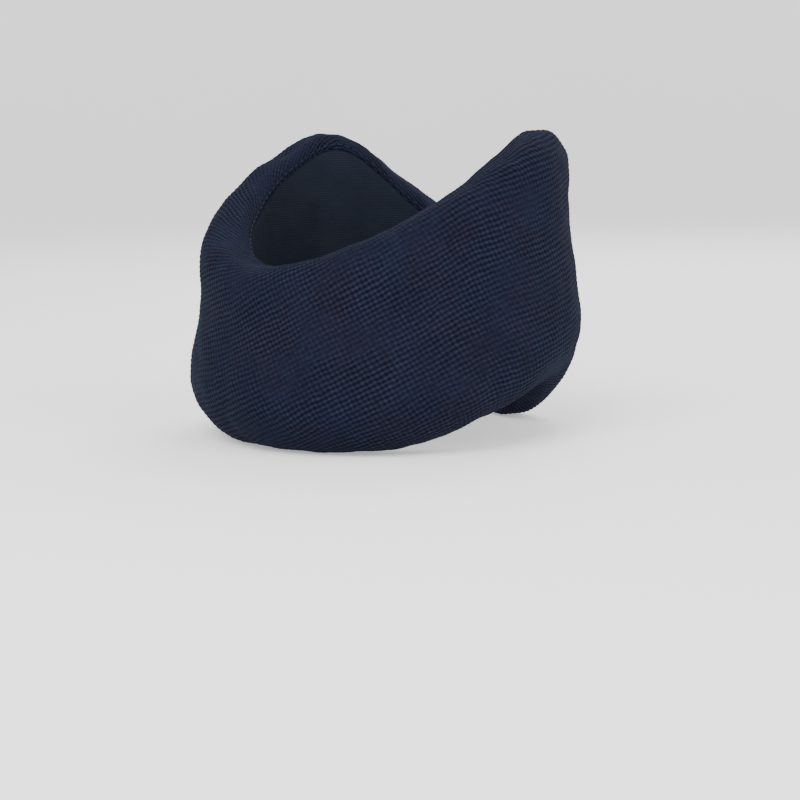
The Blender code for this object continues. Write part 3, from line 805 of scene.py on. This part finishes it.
WEB_PITCH = (1.7 * MM, 1.3 * MM)    # the webbing's weave, along and across
WEB_RELIEF = 0.16 * MM
SELVEDGE = 2.2 * MM                 # its two edges, a little thinner
LINES_SHORTER = 1.2                 # degrees from the box of stitching to the cross inside it
STRAP_POINTS = 96                   # across each of its faces
STRAP_SPACING = 0.42 * MM
STRAP_WAVES = ((0.10 * MM, 22 * MM, 41),)
WAVES_FROM, WAVES_OVER = 166.0, 20.0    # degrees: where the free part starts to be uneven
TAPE_SPACING = 0.6 * MM
TAPE_WEAVE = 0.9 * MM
FOLD_RADIUS = 0.83 * MM             # of the strap's middle, where its end folds under
HOOK_PITCH = (1.45 * MM, 1.25 * MM)
HOOK_RADIUS = 0.11 * MM
HOOK_STEM = 0.45                    # share of a hook that is straight
HOOK_BASE = 0.7 * MM
LOOP_BASE = 0.55 * MM
LOOP_PRESS = 0.2 * MM               # how far its stitches press the loop tape's edge,
PRESS_FLAT = 1.2 * MM               # over this far in,
PRESS_EASE = 1.6 * MM               # rising again over this width
LOOP_BORDER = 3.0 * MM              # without loops
LOOP_COUNT = 2600
LOOP_RADIUS = 0.045 * MM


def back_angle_of(angle):
    """Plan angles at the back, where they may be given past 180, on to the right wing."""
    return np.where(np.asarray(angle) > 180.0, np.asarray(angle) - 360.0, angle)


def lifted(angle, lift, z):
    """Points standing off the outer face at the back."""
    angle = back_angle_of(angle)
    return place(angle, face(angle, z) + lift, z)


def lifted_out(angle):
    """Outward directions at the back."""
    return normal_in_plan(back_angle_of(angle))


def strap_near(angle):
    """The strap lies on the cover where it is sewn and rises on to the tapes where it is free."""
    return LOOP_AT + (STRAP_AT - LOOP_AT) * smooth((angle - (180.0 - PEEL_ANGLE)) / PEEL_ANGLE)


def strap_path():
    """The strap's middle line: plan angle, lift, and the direction of its upper side."""
    start, tip = 180.0 - STRAP_SPAN[0], 180.0 - STRAP_TIP
    turn_at = tip - (FOLD_RADIUS + STRAP_THICKNESS / 2) / PER_DEGREE
    back_to = 180.0 - STRAP_SPAN[1] + 0.8
    run = np.linspace(start, turn_at, round((turn_at - start) * PER_DEGREE / STRAP_SPACING))
    lift = strap_near(run) + STRAP_THICKNESS / 2
    centre = lift[-1] - FOLD_RADIUS
    t = np.linspace(0.0, math.pi, 9)[1:]
    under = np.linspace(turn_at, back_to, 12)[1:]
    x = np.concatenate([run, turn_at + FOLD_RADIUS * np.sin(t) / PER_DEGREE, under]) * PER_DEGREE
    lift = np.concatenate([lift, centre + FOLD_RADIUS * np.cos(t),
                           np.full(len(under), centre - FOLD_RADIUS)])
    along = unit(np.stack([np.gradient(x), np.gradient(lift)], axis=-1))
    return x, lift, np.stack([-along[:, 1], along[:, 0]], axis=-1)


def make_strap(name):
    """The webbing: sewn part, free part and the end folded under to pull it by."""
    x, lift, upper = strap_path()
    half, edge = STRAP_WIDTH / 2, STRAP_THICKNESS / 2
    flat = np.linspace(half - edge, edge - half, STRAP_POINTS)
    level = np.full(STRAP_POINTS, edge)
    t = np.linspace(0.0, math.pi, 7)[1:-1]
    out, up = edge * np.sin(t), edge * np.cos(t)
    v = np.concatenate([flat, edge - half - out, -flat, half - edge + out])
    h = np.concatenate([level, up, -level, -up])
    run = travelled(x, lift)[:, None]
    inward = np.minimum(run, run[-1] - run)
    knit = plain_knit(run / WEB_PITCH[0], v / WEB_PITCH[1])
    weave = np.cos(math.pi * knit[..., 0]) * np.cos(math.pi * knit[..., 1])
    flatness = smooth(np.abs(h) / edge) * np.sign(h)
    selvedge = np.abs(v) > half - SELVEDGE
    height = h * np.sqrt(np.clip(1.0 - (1.0 - inward / edge) ** 2, 0.05, 1.0) ** (inward < edge))
    height = height + WEB_RELIEF / 2 * weave * flatness - 0.25 * WEB_RELIEF * selvedge
    free = smooth((x[:, None] / PER_DEGREE - WAVES_FROM) / WAVES_OVER)
    at = x[:, None] + height * upper[:, :1]
    points = lifted(at / PER_DEGREE,
                    lift[:, None] + height * upper[:, 1:] + uneven(run, v, STRAP_WAVES) * free,
                    STRAP_CENTRE_Z + np.broadcast_to(v, height.shape))
    skin = Skin()
    skin.tube(points, knit)
    return skin.build(name, webbing())


def outline(span, half, radius=TAPE_CORNER / 2):
    """A rounded rectangle on the outer face, as dense arrays of plan angle and height."""
    left, right = ((180.0 - stop) * PER_DEGREE for stop in span)
    left, right, top = left + radius, right - radius, half - radius
    x, z = [], []
    for cx, cz, turn in ((right, top, 0.0), (left, top, 90.0), (left, -top, 180.0),
                         (right, -top, 270.0)):
        t = np.radians(turn + np.linspace(0.0, 90.0, 10))
        x.append(cx + radius * np.cos(t))
        z.append(cz + radius * np.sin(t))
    x, z = np.concatenate(x), np.concatenate(z)
    x, z = np.append(x, x[0]), np.append(z, z[0])
    arc = travelled(x, z)
    at = np.linspace(0.0, arc[-1], 400)[:-1]
    return np.interp(at, arc, x) / PER_DEGREE, STRAP_CENTRE_Z + np.interp(at, arc, z)


def tape_stitches(name, span, half, margin, lift, lines=()):
    """Stitches round a tape at a margin from its edge; lines are more rows across it."""
    span = (span[0] - margin / PER_DEGREE, span[1] + margin / PER_DEGREE)
    rows = [(*outline(span, half - margin), True)]
    share = np.linspace(0.0, 1.0, 60)
    reach, middle = (span[0] - span[1]) / 2 - LINES_SHORTER, 180.0 - (span[0] + span[1]) / 2
    for (share0, z0), (share1, z1) in lines:
        z = STRAP_CENTRE_Z + (half - margin - MM) * (z0 + (z1 - z0) * share)
        rows.append((middle + reach * (share0 + (share1 - share0) * share), z, False))
    return joined(name, [stitches(f"{name}_{k}", lifted(angle, lift, z), lifted_out(angle), closed)
                         for k, (angle, z, closed) in enumerate(rows)])


def row_across(name, back_angle, lift):
    """One row of stitches across the strap, at an angle from the middle of the back."""
    z = STRAP_CENTRE_Z + np.linspace(-0.5, 0.5, 60) * (STRAP_WIDTH - 2.0 * STITCH_MARGIN)
    angle = np.full_like(z, 180.0 - back_angle)
    return stitches(name, lifted(angle, lift, z), lifted_out(angle))


def joined(name, pieces):
    """Several objects joined into one."""
    for piece in bpy.context.selected_objects:
        piece.select_set(False)
    for piece in pieces:
        piece.select_set(True)
    bpy.context.view_layer.objects.active = pieces[0]
    if len(pieces) > 1:
        bpy.ops.object.join()
    pieces[0].name = pieces[0].data.name = name
    return pieces[0]


def tape_sheet(name, span, half, lift, thickness, finish, press=0.0):
    """A tape's backing over the outer face, its edge pressed down by so much under its stitches."""
    length = (span[0] - span[1]) * PER_DEGREE
    x = np.linspace(0.0, length, round(length / TAPE_SPACING))
    v = np.linspace(-half, half, round(2 * half / TAPE_SPACING))
    from_side = np.minimum(x, x[-1] - x)[:, None]
    edge = np.minimum(from_side, half - np.abs(v))
    low = press * (1.0 - smooth((edge - PRESS_FLAT) / PRESS_EASE))
    corner_cut = np.maximum(0.0, TAPE_CORNER - from_side)
    room = half - TAPE_CORNER + np.sqrt(np.maximum(TAPE_CORNER ** 2 - corner_cut ** 2, 0.0))
    z = STRAP_CENTRE_Z + v * (room / half)
    angle = 180.0 - span[0] + np.broadcast_to(x[:, None], z.shape) / PER_DEGREE
    skin = Skin()
    thick_sheet(skin, lifted(angle, lift + thickness - low, z), thickness - press,
                plain_knit(x[:, None] / TAPE_WEAVE, z / TAPE_WEAVE))
    return skin.build(name, finish)


def make_hook_tape(name):
    """Hook tape under the strap: a backing, and rows of small bent hooks."""
    half = STRAP_WIDTH / 2 - TAPE_MARGIN
    lift = STRAP_AT - 0.05 * MM - HOOK_BASE
    backing = tape_sheet(name, HOOK_TAPE, half, lift, HOOK_BASE, fibre("hook_nylon"))
    start, end = (180.0 - HOOK_TAPE[0]) * PER_DEGREE + MM, (180.0 - HOOK_TAPE[1]) * PER_DEGREE - MM
    x, v = np.meshgrid(np.arange(start, end, HOOK_PITCH[0]),
                       np.arange(-half + 1.5 * MM, half - MM, HOOK_PITCH[1]), indexing="ij")
    x, v = (x + RNG.uniform(-0.08, 0.08, x.shape) * MM).ravel(), v.ravel()
    row = np.arange(len(x)) % 2 * 2 - 1
    t = np.linspace(0.0, 1.0, 7)
    bend = np.maximum(t - HOOK_STEM, 0.0) / (1.0 - HOOK_STEM)
    down = lift - HOOK_AT - HOOK_RADIUS
    along = 0.5 * MM * np.sin(bend * math.pi * 0.75) ** 2 + 0.12 * MM * bend
    drop_to = down * np.where(t < HOOK_STEM, t / HOOK_STEM, np.cos(bend * 2.0) * 0.35 + 0.65)
    angle = (x[:, None] + row[:, None] * along) / PER_DEGREE
    hooks = tubes(name + "_hooks", lifted(angle, lift - drop_to, STRAP_CENTRE_Z + v[:, None]),
                  HOOK_RADIUS, fibre("hook_nylon"), sides=4)
    return backing, hooks


def make_loop_tape(name):
    """Loop tape on the right end: a backing, and a pile of fine loops."""
    half, border = LOOP_TAPE_WIDTH / 2, LOOP_BORDER
    finish = fibre("loop_pile")
    backing = tape_sheet(name, LOOP_TAPE, half, LOOP_AT, LOOP_BASE, finish, LOOP_PRESS)
    start, end = (180.0 - LOOP_TAPE[0]) * PER_DEGREE, (180.0 - LOOP_TAPE[1]) * PER_DEGREE
    x = RNG.uniform(start + border, end - border, LOOP_COUNT)[:, None]
    v = RNG.uniform(border - half, half - border, LOOP_COUNT)[:, None]
    turn = RNG.uniform(0.0, math.tau, LOOP_COUNT)[:, None]
    width = RNG.uniform(0.35, 0.75, LOOP_COUNT)[:, None] * MM
    height = RNG.uniform(0.6, 1.0, LOOP_COUNT)[:, None] * (TAPE_THICKNESS - LOOP_BASE - LOOP_RADIUS)
    t = np.linspace(0.0, math.pi, 7)
    step = -np.cos(t) * width
    lift = LOOP_AT + LOOP_BASE + height * np.sin(t)
    paths = lifted((x + step * np.cos(turn)) / PER_DEGREE, lift,
                   STRAP_CENTRE_Z + v + step * np.sin(turn))
    return backing, tubes(name + "_loops", paths, LOOP_RADIUS, finish, sides=3)


def make_label(name):
    """A blank satin label, sewn to the lining at its two short ends, its middle a little slack."""
    share = np.linspace(0.0, 1.0, 70)[:, None]
    start, end = 180.0 - LABEL_ANGLES[0], 180.0 - LABEL_ANGLES[1]
    angle, z = np.broadcast_arrays(np.linspace(start, end, 70)[:, None],
                                   np.linspace(LABEL_HEIGHTS[1], LABEL_HEIGHTS[0], 50))
    slack = LABEL_SLACK * np.sin(math.pi * share) ** 2 * (1.0 + 0.3 * np.cos(share * 9.0))
    depth = (LINING_CROWN + LABEL_CLEAR + slack
             + 0.05 * MM * waves(share, z / (20 * MM), 0.8, 51))
    points = place(angle, flare(angle, z) - THICKNESS - depth, z)
    skin = Skin()
    thick_sheet(skin, points, LABEL_THICKNESS,
                plain_knit(angle * PER_DEGREE / LABEL_WEAVE, z / LABEL_WEAVE))
    return skin.build(name, satin())


def label_stitches(name):
    """The two rows that hold the label, along its short ends."""
    rows = []
    z = np.linspace(LABEL_HEIGHTS[0] + 0.8 * MM, LABEL_HEIGHTS[1] - 0.8 * MM, 60)
    for k, angle in enumerate((180.0 - LABEL_ANGLES[0] + 1.2, 180.0 - LABEL_ANGLES[1] - 1.2)):
        angle = np.full_like(z, angle)
        path = place(angle, flare(angle, z) - THICKNESS - LINING_CROWN - 0.4 * MM, z)
        rows.append(stitches(f"{name}_{k}", path, -normal_in_plan(angle), pitch=2.2 * MM))
    return joined(name, rows)


# ---- materials ----

class Finish:
    """A node material. Its methods add nodes and return their outputs."""

    def __init__(self, name, roughness, sheen=0.0, specular=0.25, sheen_roughness=0.4,
                 sheen_tint=(1.0, 1.0, 1.0)):
        self.material = bpy.data.materials.new(name)
        self.material.use_nodes = True
        self.tree = self.material.node_tree
        self.shader = self.tree.nodes["Principled BSDF"]
        for socket, value in (("Roughness", roughness), ("Sheen Weight", sheen),
                              ("Sheen Roughness", sheen_roughness),
                              ("Sheen Tint", (*sheen_tint, 1.0)), ("Specular IOR Level", specular)):
            self.shader.inputs[socket].default_value = value

    def node(self, kind, *sources, **settings):
        """A shader node with its inputs filled in order, by link or by value."""
        made = self.tree.nodes.new("ShaderNode" + kind)
        for name, value in settings.items():
            setattr(made, name, value)
        for socket, source in zip(made.inputs, sources):
            if isinstance(source, bpy.types.NodeSocket):
                self.tree.links.new(source, socket)
            elif source is not None:
                socket.default_value = source
        return made.outputs[0]

    def add(self, *sources):
        """The sum of two."""
        return self.node("Math", *sources, operation='ADD')

    def times(self, *sources):
        """The product of two."""
        return self.node("Math", *sources, operation='MULTIPLY')

    def times_plus(self, *sources):
        """The product of the first two, plus the third."""
        return self.node("Math", *sources, operation='MULTIPLY_ADD')

    def wave(self, turns, rate=1.0):
        """A cosine wave, so many turns of it to one turn of the coordinate."""
        return self.node("Math", self.times(turns, math.tau * rate), operation='COSINE')

    def where(self):
        """Places on the object, in metres."""
        return self.tree.nodes.new("ShaderNodeTexCoord").outputs["Object"]

    def knit(self):
        """The knit coordinate and its parts: turns one way, turns the other, contrast."""
        made = self.tree.nodes.new("ShaderNodeAttribute")
        made.attribute_name = "knit"
        split = self.tree.nodes.new("ShaderNodeSeparateXYZ")
        self.tree.links.new(made.outputs["Vector"], split.inputs[0])
        return (made.outputs["Vector"], *split.outputs)

    def noise(self, where, scale, detail=3.0):
        """Noise from 0 to 1."""
        return self.node("TexNoise", where, None, scale, detail)

    def ramp(self, factor, *stops):
        """A colour ramp through (place, colour) stops."""
        made = self.tree.nodes.new("ShaderNodeValToRGB")
        elements = made.color_ramp.elements
        for element, (at, colour) in zip(elements, (stops[0], stops[-1])):
            element.position, element.color = at, (*colour, 1.0)
        for at, colour in stops[1:-1]:
            elements.new(at).color = (*colour, 1.0)
        self.tree.links.new(factor, made.inputs[0])
        return made.outputs[0]

    def product(self, *colours):
        """Two colours multiplied."""
        return self.node("VectorMath", *colours, operation='MULTIPLY')

    def tinted(self, colour, factor, low, high):
        """A colour made darker or lighter by a factor from 0 to 1."""
        share = self.node("MapRange", factor, 0.0, 1.0, low, high)
        return self.product(colour, self.node("CombineXYZ", share, share, share))

    def done(self, colour, height=None, depth=0.0, strength=1.0):
        """The material, with its colour and fine relief joined to the shader."""
        self.tree.links.new(colour, self.shader.inputs["Base Color"])
        if height:
            made = self.tree.nodes.new("ShaderNodeBump")
            made.inputs["Distance"].default_value = depth
            made.inputs["Strength"].default_value = strength
            self.tree.links.new(height, made.inputs["Height"])
            self.tree.links.new(made.outputs[0], self.shader.inputs["Normal"])
        return self.material


# The knit's colours by height; the pits' colour is the navy yarn darkened with painted shade
PIT_SHADE = (0.0030, 0.0034, 0.0090)
YARN = (0.0061, 0.0071, 0.0164)
FLOAT = (0.0122, 0.0145, 0.0268)
FIBRES = {      # darkest and lightest colour, roughness, sheen, grain per metre, its depth
    "sewing_thread": ((0.006, 0.008, 0.017), (0.016, 0.020, 0.036), 0.5, 0.03, 2600.0, 0.10 * MM),
    "hook_nylon": ((0.002, 0.002, 0.003), (0.008, 0.008, 0.010), 0.62, 0.0, 1800.0, 0.05 * MM),
    "loop_pile": ((0.003, 0.003, 0.005), (0.012, 0.013, 0.016), 0.9, 0.02, 1500.0, 0.12 * MM),
}


@functools.cache
def cloth():
    """Navy waffle knit: light floats, pits darkened with painted shade, yarns, and patches of
    uneven dye.
    """
    f = Finish("waffle_knit", 0.94, 0.012, 0.04, 0.5, (0.55, 0.66, 0.95))
    knit, along, across, contrast = f.knit()
    rows = f.times(f.wave(across), ROW_SHARE)
    relief = f.times(f.times_plus(f.wave(along), 0.5 - ROW_SHARE, rows), contrast)
    fuzz = f.add(f.noise(knit, 5.0, 4.0), -0.5)
    strands = f.times(f.wave(f.add(across, f.times(along, 0.35)), 4.0), 0.07)
    height = f.add(f.add(relief, strands), f.times(fuzz, 0.45))
    # Darker the lower the knit lies: painted shade in its pits
    colour = f.ramp(f.add(height, 0.5), (0.10, PIT_SHADE), (0.45, YARN), (0.95, FLOAT))
    colour = f.tinted(colour, f.noise(knit, 1.3, 2.0), 0.55, 1.50)
    colour = f.tinted(colour, f.noise(knit, 0.10, 2.0), 0.78, 1.24)
    hue = f.ramp(f.noise(knit, 0.07), (0.38, (0.91, 1.03, 1.05)), (0.62, (1.09, 0.98, 0.97)))
    return f.done(f.product(colour, hue), height, 0.28 * MM, 0.9)


@functools.cache
def jersey():
    """Brushed jersey: columns of little V-shaped stitches under a soft nap."""
    f = Finish("brushed_jersey", 0.95, 0.02, 0.04, 0.5, (0.6, 0.68, 0.9))
    knit, wale, course, _ = f.knit()
    vee = f.wave(f.add(course, f.node("Math", wale, 0.5, operation='PINGPONG')))
    height = f.add(f.times(vee, 0.22), f.times(f.wave(wale, 2.0), -0.2))
    height = f.times_plus(f.noise(knit, 3.0, 5.0), 0.9, height)
    colour = f.ramp(f.add(height, 0.05), (0.05, (0.004, 0.005, 0.009)),
                    (0.95, (0.018, 0.022, 0.034)))
    return f.done(f.tinted(colour, f.noise(knit, 0.06, 2.0), 0.8, 1.2), height, 0.18 * MM)


@functools.cache
def foam():
    """Open-cell foam: cream, with small round cells."""
    f = Finish("open_cell_foam", 0.95, 0.1, 0.2)
    where = f.where()
    cells = f.node("TexVoronoi", where, None, 1400.0)
    colour = f.ramp(cells, (0.1, (0.66, 0.63, 0.54)), (0.9, (0.42, 0.39, 0.31)))
    return f.done(f.tinted(colour, f.noise(where, 60.0), 0.85, 1.1), cells, -0.25 * MM)


@functools.cache
def fibre(name):
    """A plain fibre finish with an uneven grain: sewing thread, hooks or loops."""
    dark, light, roughness, sheen, scale, depth = FIBRES[name]
    f = Finish(name, roughness, sheen, 0.12)
    grain = f.noise(f.where(), scale, 4.0)
    return f.done(f.ramp(grain, (0.3, dark), (0.7, light)), grain, depth)


def woven(name, dark, light, roughness, sheen, depth, rate):
    """A plain weave on the knit coordinate: ribs over and under, with twisted yarns."""
    f = Finish(name, roughness, sheen, 0.08)
    knit, along, across, _ = f.knit()
    weave = f.times(f.wave(along, rate), f.wave(across, rate))
    yarns = f.times(f.wave(f.add(along, across), 3.0), 0.18)
    height = f.add(f.times_plus(weave, 0.5, yarns), f.noise(knit, 4.0, 4.0))
    colour = f.ramp(height, (0.05, dark), (0.95, light))
    return f.done(f.tinted(colour, f.noise(knit, 0.15, 2.0), 0.8, 1.2), height, depth)


@functools.cache
def webbing():
    """Black polyester webbing."""
    return woven("strap_webbing", (0.0012, 0.0013, 0.0017), (0.0085, 0.0090, 0.0110), 0.75, 0.005,
                 0.16 * MM, 0.5)


@functools.cache
def satin():
    """Blank white satin label."""
    return woven("label_satin", (0.50, 0.50, 0.48), (0.74, 0.74, 0.71), 0.5, 0.3, 0.04 * MM, 1.0)


def paper():
    """Plain pale backdrop."""
    f = Finish("pale_backdrop", 0.9, specular=0.1)
    colour = f.ramp(f.noise(f.where(), 1.5, 2.0), (0.3, (0.80,) * 3), (0.7, (0.83,) * 3))
    f.shader.inputs["Emission Color"].default_value = (1.0, 1.0, 1.0, 1.0)
    f.shader.inputs["Emission Strength"].default_value = 0.4
    return f.done(colour)


# ---- putting the collar on its frame ----

SECTIONS = {"front": (-SPLIT_ANGLE, SPLIT_ANGLE), "left": (SPLIT_ANGLE, END_ANGLE),
            "right": (-END_ANGLE, -SPLIT_ANGLE)}


def settle(piece, section_name, slot, *nodes):
    """Ride a piece on its section's body if it is the front's; a wing's piece stays where it is
    made.
    """
    if section_name == "front":
        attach(piece, "front")
    else:
        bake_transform(piece)
    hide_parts(*nodes)
    return piece


def lining_cut(start, end):
    """Flat size of a stretch of lining: its greatest height, its length and its area."""
    angle = np.linspace(start, end, 200)
    heights = top_z(angle) - low_z(angle) - 2.0 * (LIP - TUCK)
    line = place(angle, -THICKNESS, 0.0)
    steps = np.linalg.norm(np.diff(line, axis=0), axis=1)
    area = float((steps * (heights[1:] + heights[:-1]) / 2.0).sum())
    return float(heights.max()), float(steps.sum()), area


def dress_section(name, puff):
    """Cover, lining, foam and seams of the front or one wing."""
    start, end = SECTIONS[name]
    cover = make_cover("cover_" + name, start, end, puff)
    settle(cover, name, "cover_fabric", "outer_cover_" + name)
    core = make_foam("foam_" + name, start, end)
    settle(core, name, "foam", "foam_core_" + name)
    lining = make_lining("lining_" + name, start, end)
    settle(lining, name, "lining_fabric", "inner_lining_" + name)
    height, length, area = lining_cut(start, end)
    for edge in ("top", "bottom"):
        seam = edge_seam(f"stitches_{edge}_{name}", edge, start, end)
        settle(seam, name, "sewing_thread", f"{edge}_seam_{name}")


def dress_ends():
    """Seams round the two ends, and the label."""
    for name, side in (("left", 1.0), ("right", -1.0)):
        seam = end_seam("stitches_end_" + name, side)
        settle(seam, name, "sewing_thread", name + "_end_seam")
    label = settle(make_label("blank_label"), "left", "label_fabric", "care_label")
    settle(label_stitches("stitches_label"), "left", "sewing_thread")


def dress_closure():
    """Strap, hook tape, loop tape and their stitches."""
    strap = make_strap("strap_webbing")
    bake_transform(strap)
    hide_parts("strap_root", "hook_strap", "pull_tab")
    hook_backing, hooks = make_hook_tape("hook_tape_nylon")
    loop_backing, loops = make_loop_tape("loop_tape_pile")
    root_span = (STRAP_SPAN[0], PEEL_ANGLE + 3.0)
    box = tape_stitches("stitches_strap_root", root_span, STRAP_WIDTH / 2, STITCH_MARGIN,
                        LOOP_AT + STRAP_THICKNESS,
                        lines=(((-1.0, -1.0), (1.0, 1.0)), ((-1.0, 1.0), (1.0, -1.0))))
    hook_line = tape_stitches("stitches_hook_tape", HOOK_TAPE, STRAP_WIDTH / 2 - TAPE_MARGIN,
                              STITCH_MARGIN, STRAP_AT + STRAP_THICKNESS)
    tab_line = row_across("stitches_pull_tab", PULL_TAB_ROW, STRAP_AT + STRAP_THICKNESS)
    loop_line = tape_stitches("stitches_loop_tape", LOOP_TAPE, LOOP_TAPE_WIDTH / 2,
                              LOOP_STITCH_MARGIN, LOOP_AT + LOOP_BASE - LOOP_PRESS)
    for piece, body, slot, nodes in (
            (hook_backing, "strap", "hook_tape", ["hook_tape"]),
            (hooks, "strap", "hook_tape", []),
            (loop_backing, "right_wing", "loop_tape", ["loop_tape"]),
            (loops, "right_wing", "loop_tape", []),
            (box, "left_wing", "sewing_thread", ["strap_root_stitching"]),
            (hook_line, "strap", "sewing_thread", ["hook_tape_stitching"]),
            (tab_line, "strap", "sewing_thread", []),
            (loop_line, "right_wing", "sewing_thread", ["loop_tape_stitching"])):
        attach(piece, body)
        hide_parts(*nodes)


# ---- floor, light and camera ----

TARGET = Vector((0.0, 2.0 * MM, 49.0 * MM))
CAMERA_AZIMUTH = 44.18
CAMERA_ELEVATION = 5.66
CAMERA_ROLL = 0.82
CAMERA_DISTANCE = 797.0 * MM
CAMERA_LENS = 79.5              # on the default 36 mm sensor
AIM_RIGHT = 5.1 * MM            # the camera looks past the target by this much
AIM_DOWN = 35.9 * MM
FLOOR_RADIUS = 3.2
WALL_HEIGHT = 1.6
WALL_BEND = 1.0                 # radius between floor and wall
WORLD_LIGHT = 0.9
LAMPS = (                       # name, azimuth, elevation, distance, size, power
    ("key", 20.0, 42.0, 1.5, 1.0, 26.0),
    ("fill", 95.0, 25.0, 1.6, 1.2, 14.0),
    ("back", 200.0, 45.0, 1.6, 1.0, 18.0),
)


def direction(azimuth, elevation):
    """Unit direction from the collar; azimuth 0 is straight in front, positive to its left."""
    a, e = math.radians(azimuth), math.radians(elevation)
    return Vector((math.sin(a) * math.cos(e), -math.cos(a) * math.cos(e), math.sin(e)))


def add_camera():
    """The camera, where the collar is seen as in the photograph."""
    camera = bpy.data.objects.new("camera", bpy.data.cameras.new("camera"))
    bpy.context.collection.objects.link(camera)
    back = direction(CAMERA_AZIMUTH, CAMERA_ELEVATION)
    level = Vector((0.0, 0.0, 1.0)).cross(back).normalized()
    upright = back.cross(level)
    roll = math.radians(CAMERA_ROLL)
    right = level * math.cos(roll) - upright * math.sin(roll)
    up = level * math.sin(roll) + upright * math.cos(roll)
    camera.location = TARGET + CAMERA_DISTANCE * back
    aim = TARGET + AIM_RIGHT * right - AIM_DOWN * up
    facing = (camera.location - aim).normalized()
    right = up.cross(facing).normalized()
    up = facing.cross(right)
    camera.rotation_euler = Matrix((right, up, facing)).transposed().to_euler()
    camera.data.lens = CAMERA_LENS
    bpy.context.scene.camera = camera


def add_light(name, azimuth, elevation, distance, size, power):
    """A soft square lamp pointing at the collar."""
    lamp = bpy.data.lights.new(name, 'AREA')
    lamp.shape = 'SQUARE'
    lamp.size = size
    lamp.energy = power
    made = bpy.data.objects.new(name, lamp)
    bpy.context.collection.objects.link(made)
    made.location = TARGET + distance * direction(azimuth, elevation)
    made.rotation_euler = (made.location - TARGET).to_track_quat('Z', 'Y').to_euler()


def add_stage():
    """A round pale floor that curves up into a low wall, and light from all round."""
    t = np.linspace(0.0, math.pi / 2, 25)[1:]
    flat = np.concatenate([[0.001], np.linspace(0.5, FLOOR_RADIUS - WALL_BEND, 5)])
    out = np.concatenate([flat, FLOOR_RADIUS - WALL_BEND + WALL_BEND * np.sin(t), [FLOOR_RADIUS]])
    up = np.concatenate([np.zeros_like(flat), WALL_BEND * (1.0 - np.cos(t)), [WALL_HEIGHT]])
    turn = np.linspace(0.0, math.tau, 97)[:, None]
    rings = np.broadcast_arrays(out * np.cos(turn), out * np.sin(turn), up)
    skin = Skin()
    skin.quads(skin.grid(np.stack(rings, -1)))
    skin.build("floor", paper())
    world = bpy.data.worlds.new("studio")
    bpy.context.scene.world = world
    world.use_nodes = True
    background = world.node_tree.nodes["Background"]
    background.inputs["Color"].default_value = (1.0, 1.0, 1.0, 1.0)
    background.inputs["Strength"].default_value = WORLD_LIGHT
    for lamp in LAMPS:
        add_light(*lamp)


def main():
    """Dress the frame, light it and aim the camera."""
    add_camera()
    add_stage()
    puff = simulate_puff()
    for name in SECTIONS:
        dress_section(name, puff)
    dress_ends()
    dress_closure()


main()
